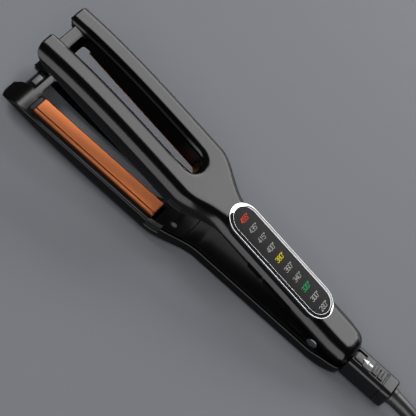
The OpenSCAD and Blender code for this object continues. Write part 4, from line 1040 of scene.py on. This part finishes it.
def build_plug(bm):
    neck = [(367, 4.3), (367.4, 4.7), (370, 4.7)]
    for i in range(3):
        x = 370 + i * 2.4
        neck += [(x, 4.7), (x + 0.3, 4.25), (x + 1.1, 4.25), (x + 1.4, 4.7)]
    lathe(bm, neck + [(379.6, 4.7)], lambda p: in_world((p[0], PLUG_Y + p[1], PLUG_Z + p[2])), 28)
    rings = []
    for x, g in ((379.0, 4.2), (379.2, 3.2), (380.2, 1.9), (382, 0.8), (384.5, 0.2), (387, 0), (397.6, 0),
                 (398.5, 0.2), (398.9, 0.6), (399.0, 1.1)):
        section = rounded_rect(23 - 2 * g, 14 - 1.4 * g, max(0.6, 3 - 0.3 * g), 7)
        rings.append([(x, PLUG_Y + y, PLUG_Z + z) for y, z in section])
    add_rings(bm, rings, in_world)
    for side in (-1, 1):
        for i in range(4):
            x = 384.6 + 2.6 * i
            soft_box(bm, x, x + 1.2, *sorted((PLUG_Y + side * 11.2, PLUG_Y + side * 11.5)), 4.2, 9.8, in_world,
                     0.1, 0.1)


piece("plug_moulded", "lower_arm", "plug", build_plug, ["plug_body"])


def build_blades(bm):
    for side in (-1, 1):
        y = PLUG_Y + side * 6.35
        line = [(398.6, 3.85), (414.6, 3.85), (416.5, 5.2), (416.5, 8.8), (414.6, 10.15), (398.6, 10.15)]
        layered(bm, line, soft(y - 0.75, y + 0.75, 0.2, 0.2, 2), lambda p: in_world((p[0], p[2], p[1])))


piece("blades_stamped", "lower_arm", "blade", build_blades, ["plug_blades"])

# ==== CAD nodes that stay
slot_of = {s["node"]: s["material_slot"] for s in frame["record"]["subparts"]}
for node, obj in frame["nodes"].items():
    obj.data.materials.clear()
    obj.data.materials.append(M[slot_of[node]])
    if node not in ("hinge_spring", "power_leads"):
        edges = obj.modifiers.new("edges", "BEVEL")
        edges.width, edges.segments, edges.limit_method, edges.angle_limit = 0.00015, 2, "ANGLE", radians(50)

# ==== floor, light
floor_mesh = bpy.data.meshes.new("floor")
floor_mesh.from_pydata([(-6, -6, 0), (6, -6, 0), (6, 6, 0), (-6, 6, 0)], [], [(0, 1, 2, 3)])
floor = add_object("floor", floor_mesh)
floor_mat, _, b = new_mat("floor_paper")
set_inputs(b, Base_Color=(0.155, 0.162, 0.176, 1), Roughness=0.9, Specular_IOR_Level=0.1)
floor_mesh.materials.append(floor_mat)

world = bpy.data.worlds.new("world")
bpy.context.scene.world = world
world.use_nodes = True
set_inputs(world.node_tree.nodes["Background"], Color=(0.9, 0.92, 1.0, 1), Strength=0.045)


def area_light(name, at, size, radiance, towards=(0, 0, 0.02)):
    data = bpy.data.lights.new(name, "AREA")
    data.shape = "RECTANGLE"
    data.size, data.size_y = size
    data.energy = radiance * pi * size[0] * size[1]
    obj = add_object(name, data)
    obj.location = at
    obj.rotation_mode = "QUATERNION"
    obj.rotation_quaternion = (Vector(at) - Vector(towards)).to_track_quat("Z", "Y")
    return obj


def away(azimuth, elevation, dist):
    """Azimuth counts from +X towards +Y."""
    a, e = radians(azimuth), radians(elevation)
    return (dist * cos(a) * cos(e), dist * sin(a) * cos(e), dist * sin(e))


# these show in the gloss and light no surface
for light in (area_light("back_softbox", away(82, 42, 2.0), (2.4, 1.5), 5.6),
              area_light("low_back_light", away(85, 8, 2.2), (3.2, 0.6), 1.2),
              area_light("front_softbox", away(284, 21, 2.0), (3.6, 1.35), 3.4)):
    light.visible_diffuse = False
# these light the surfaces and show in no reflection
for light in (area_light("fill_softbox", away(272, 50, 2.0), (1.2, 1.2), 5.2),
              area_light("slot_light", away(180, 40, 2.0), (0.8, 0.8), 12.0),
              area_light("overhead_softbox", (0.1, -0.1, 1.8), (1.6, 1.6), 0.35),
              area_light("floor_light", (0.2, 0.8, 0.55), (0.5, 0.5), 8.0, (0.12, 0.4, 0))):
    light.visible_glossy = False

bpy.context.scene.view_settings.view_transform = "Standard"
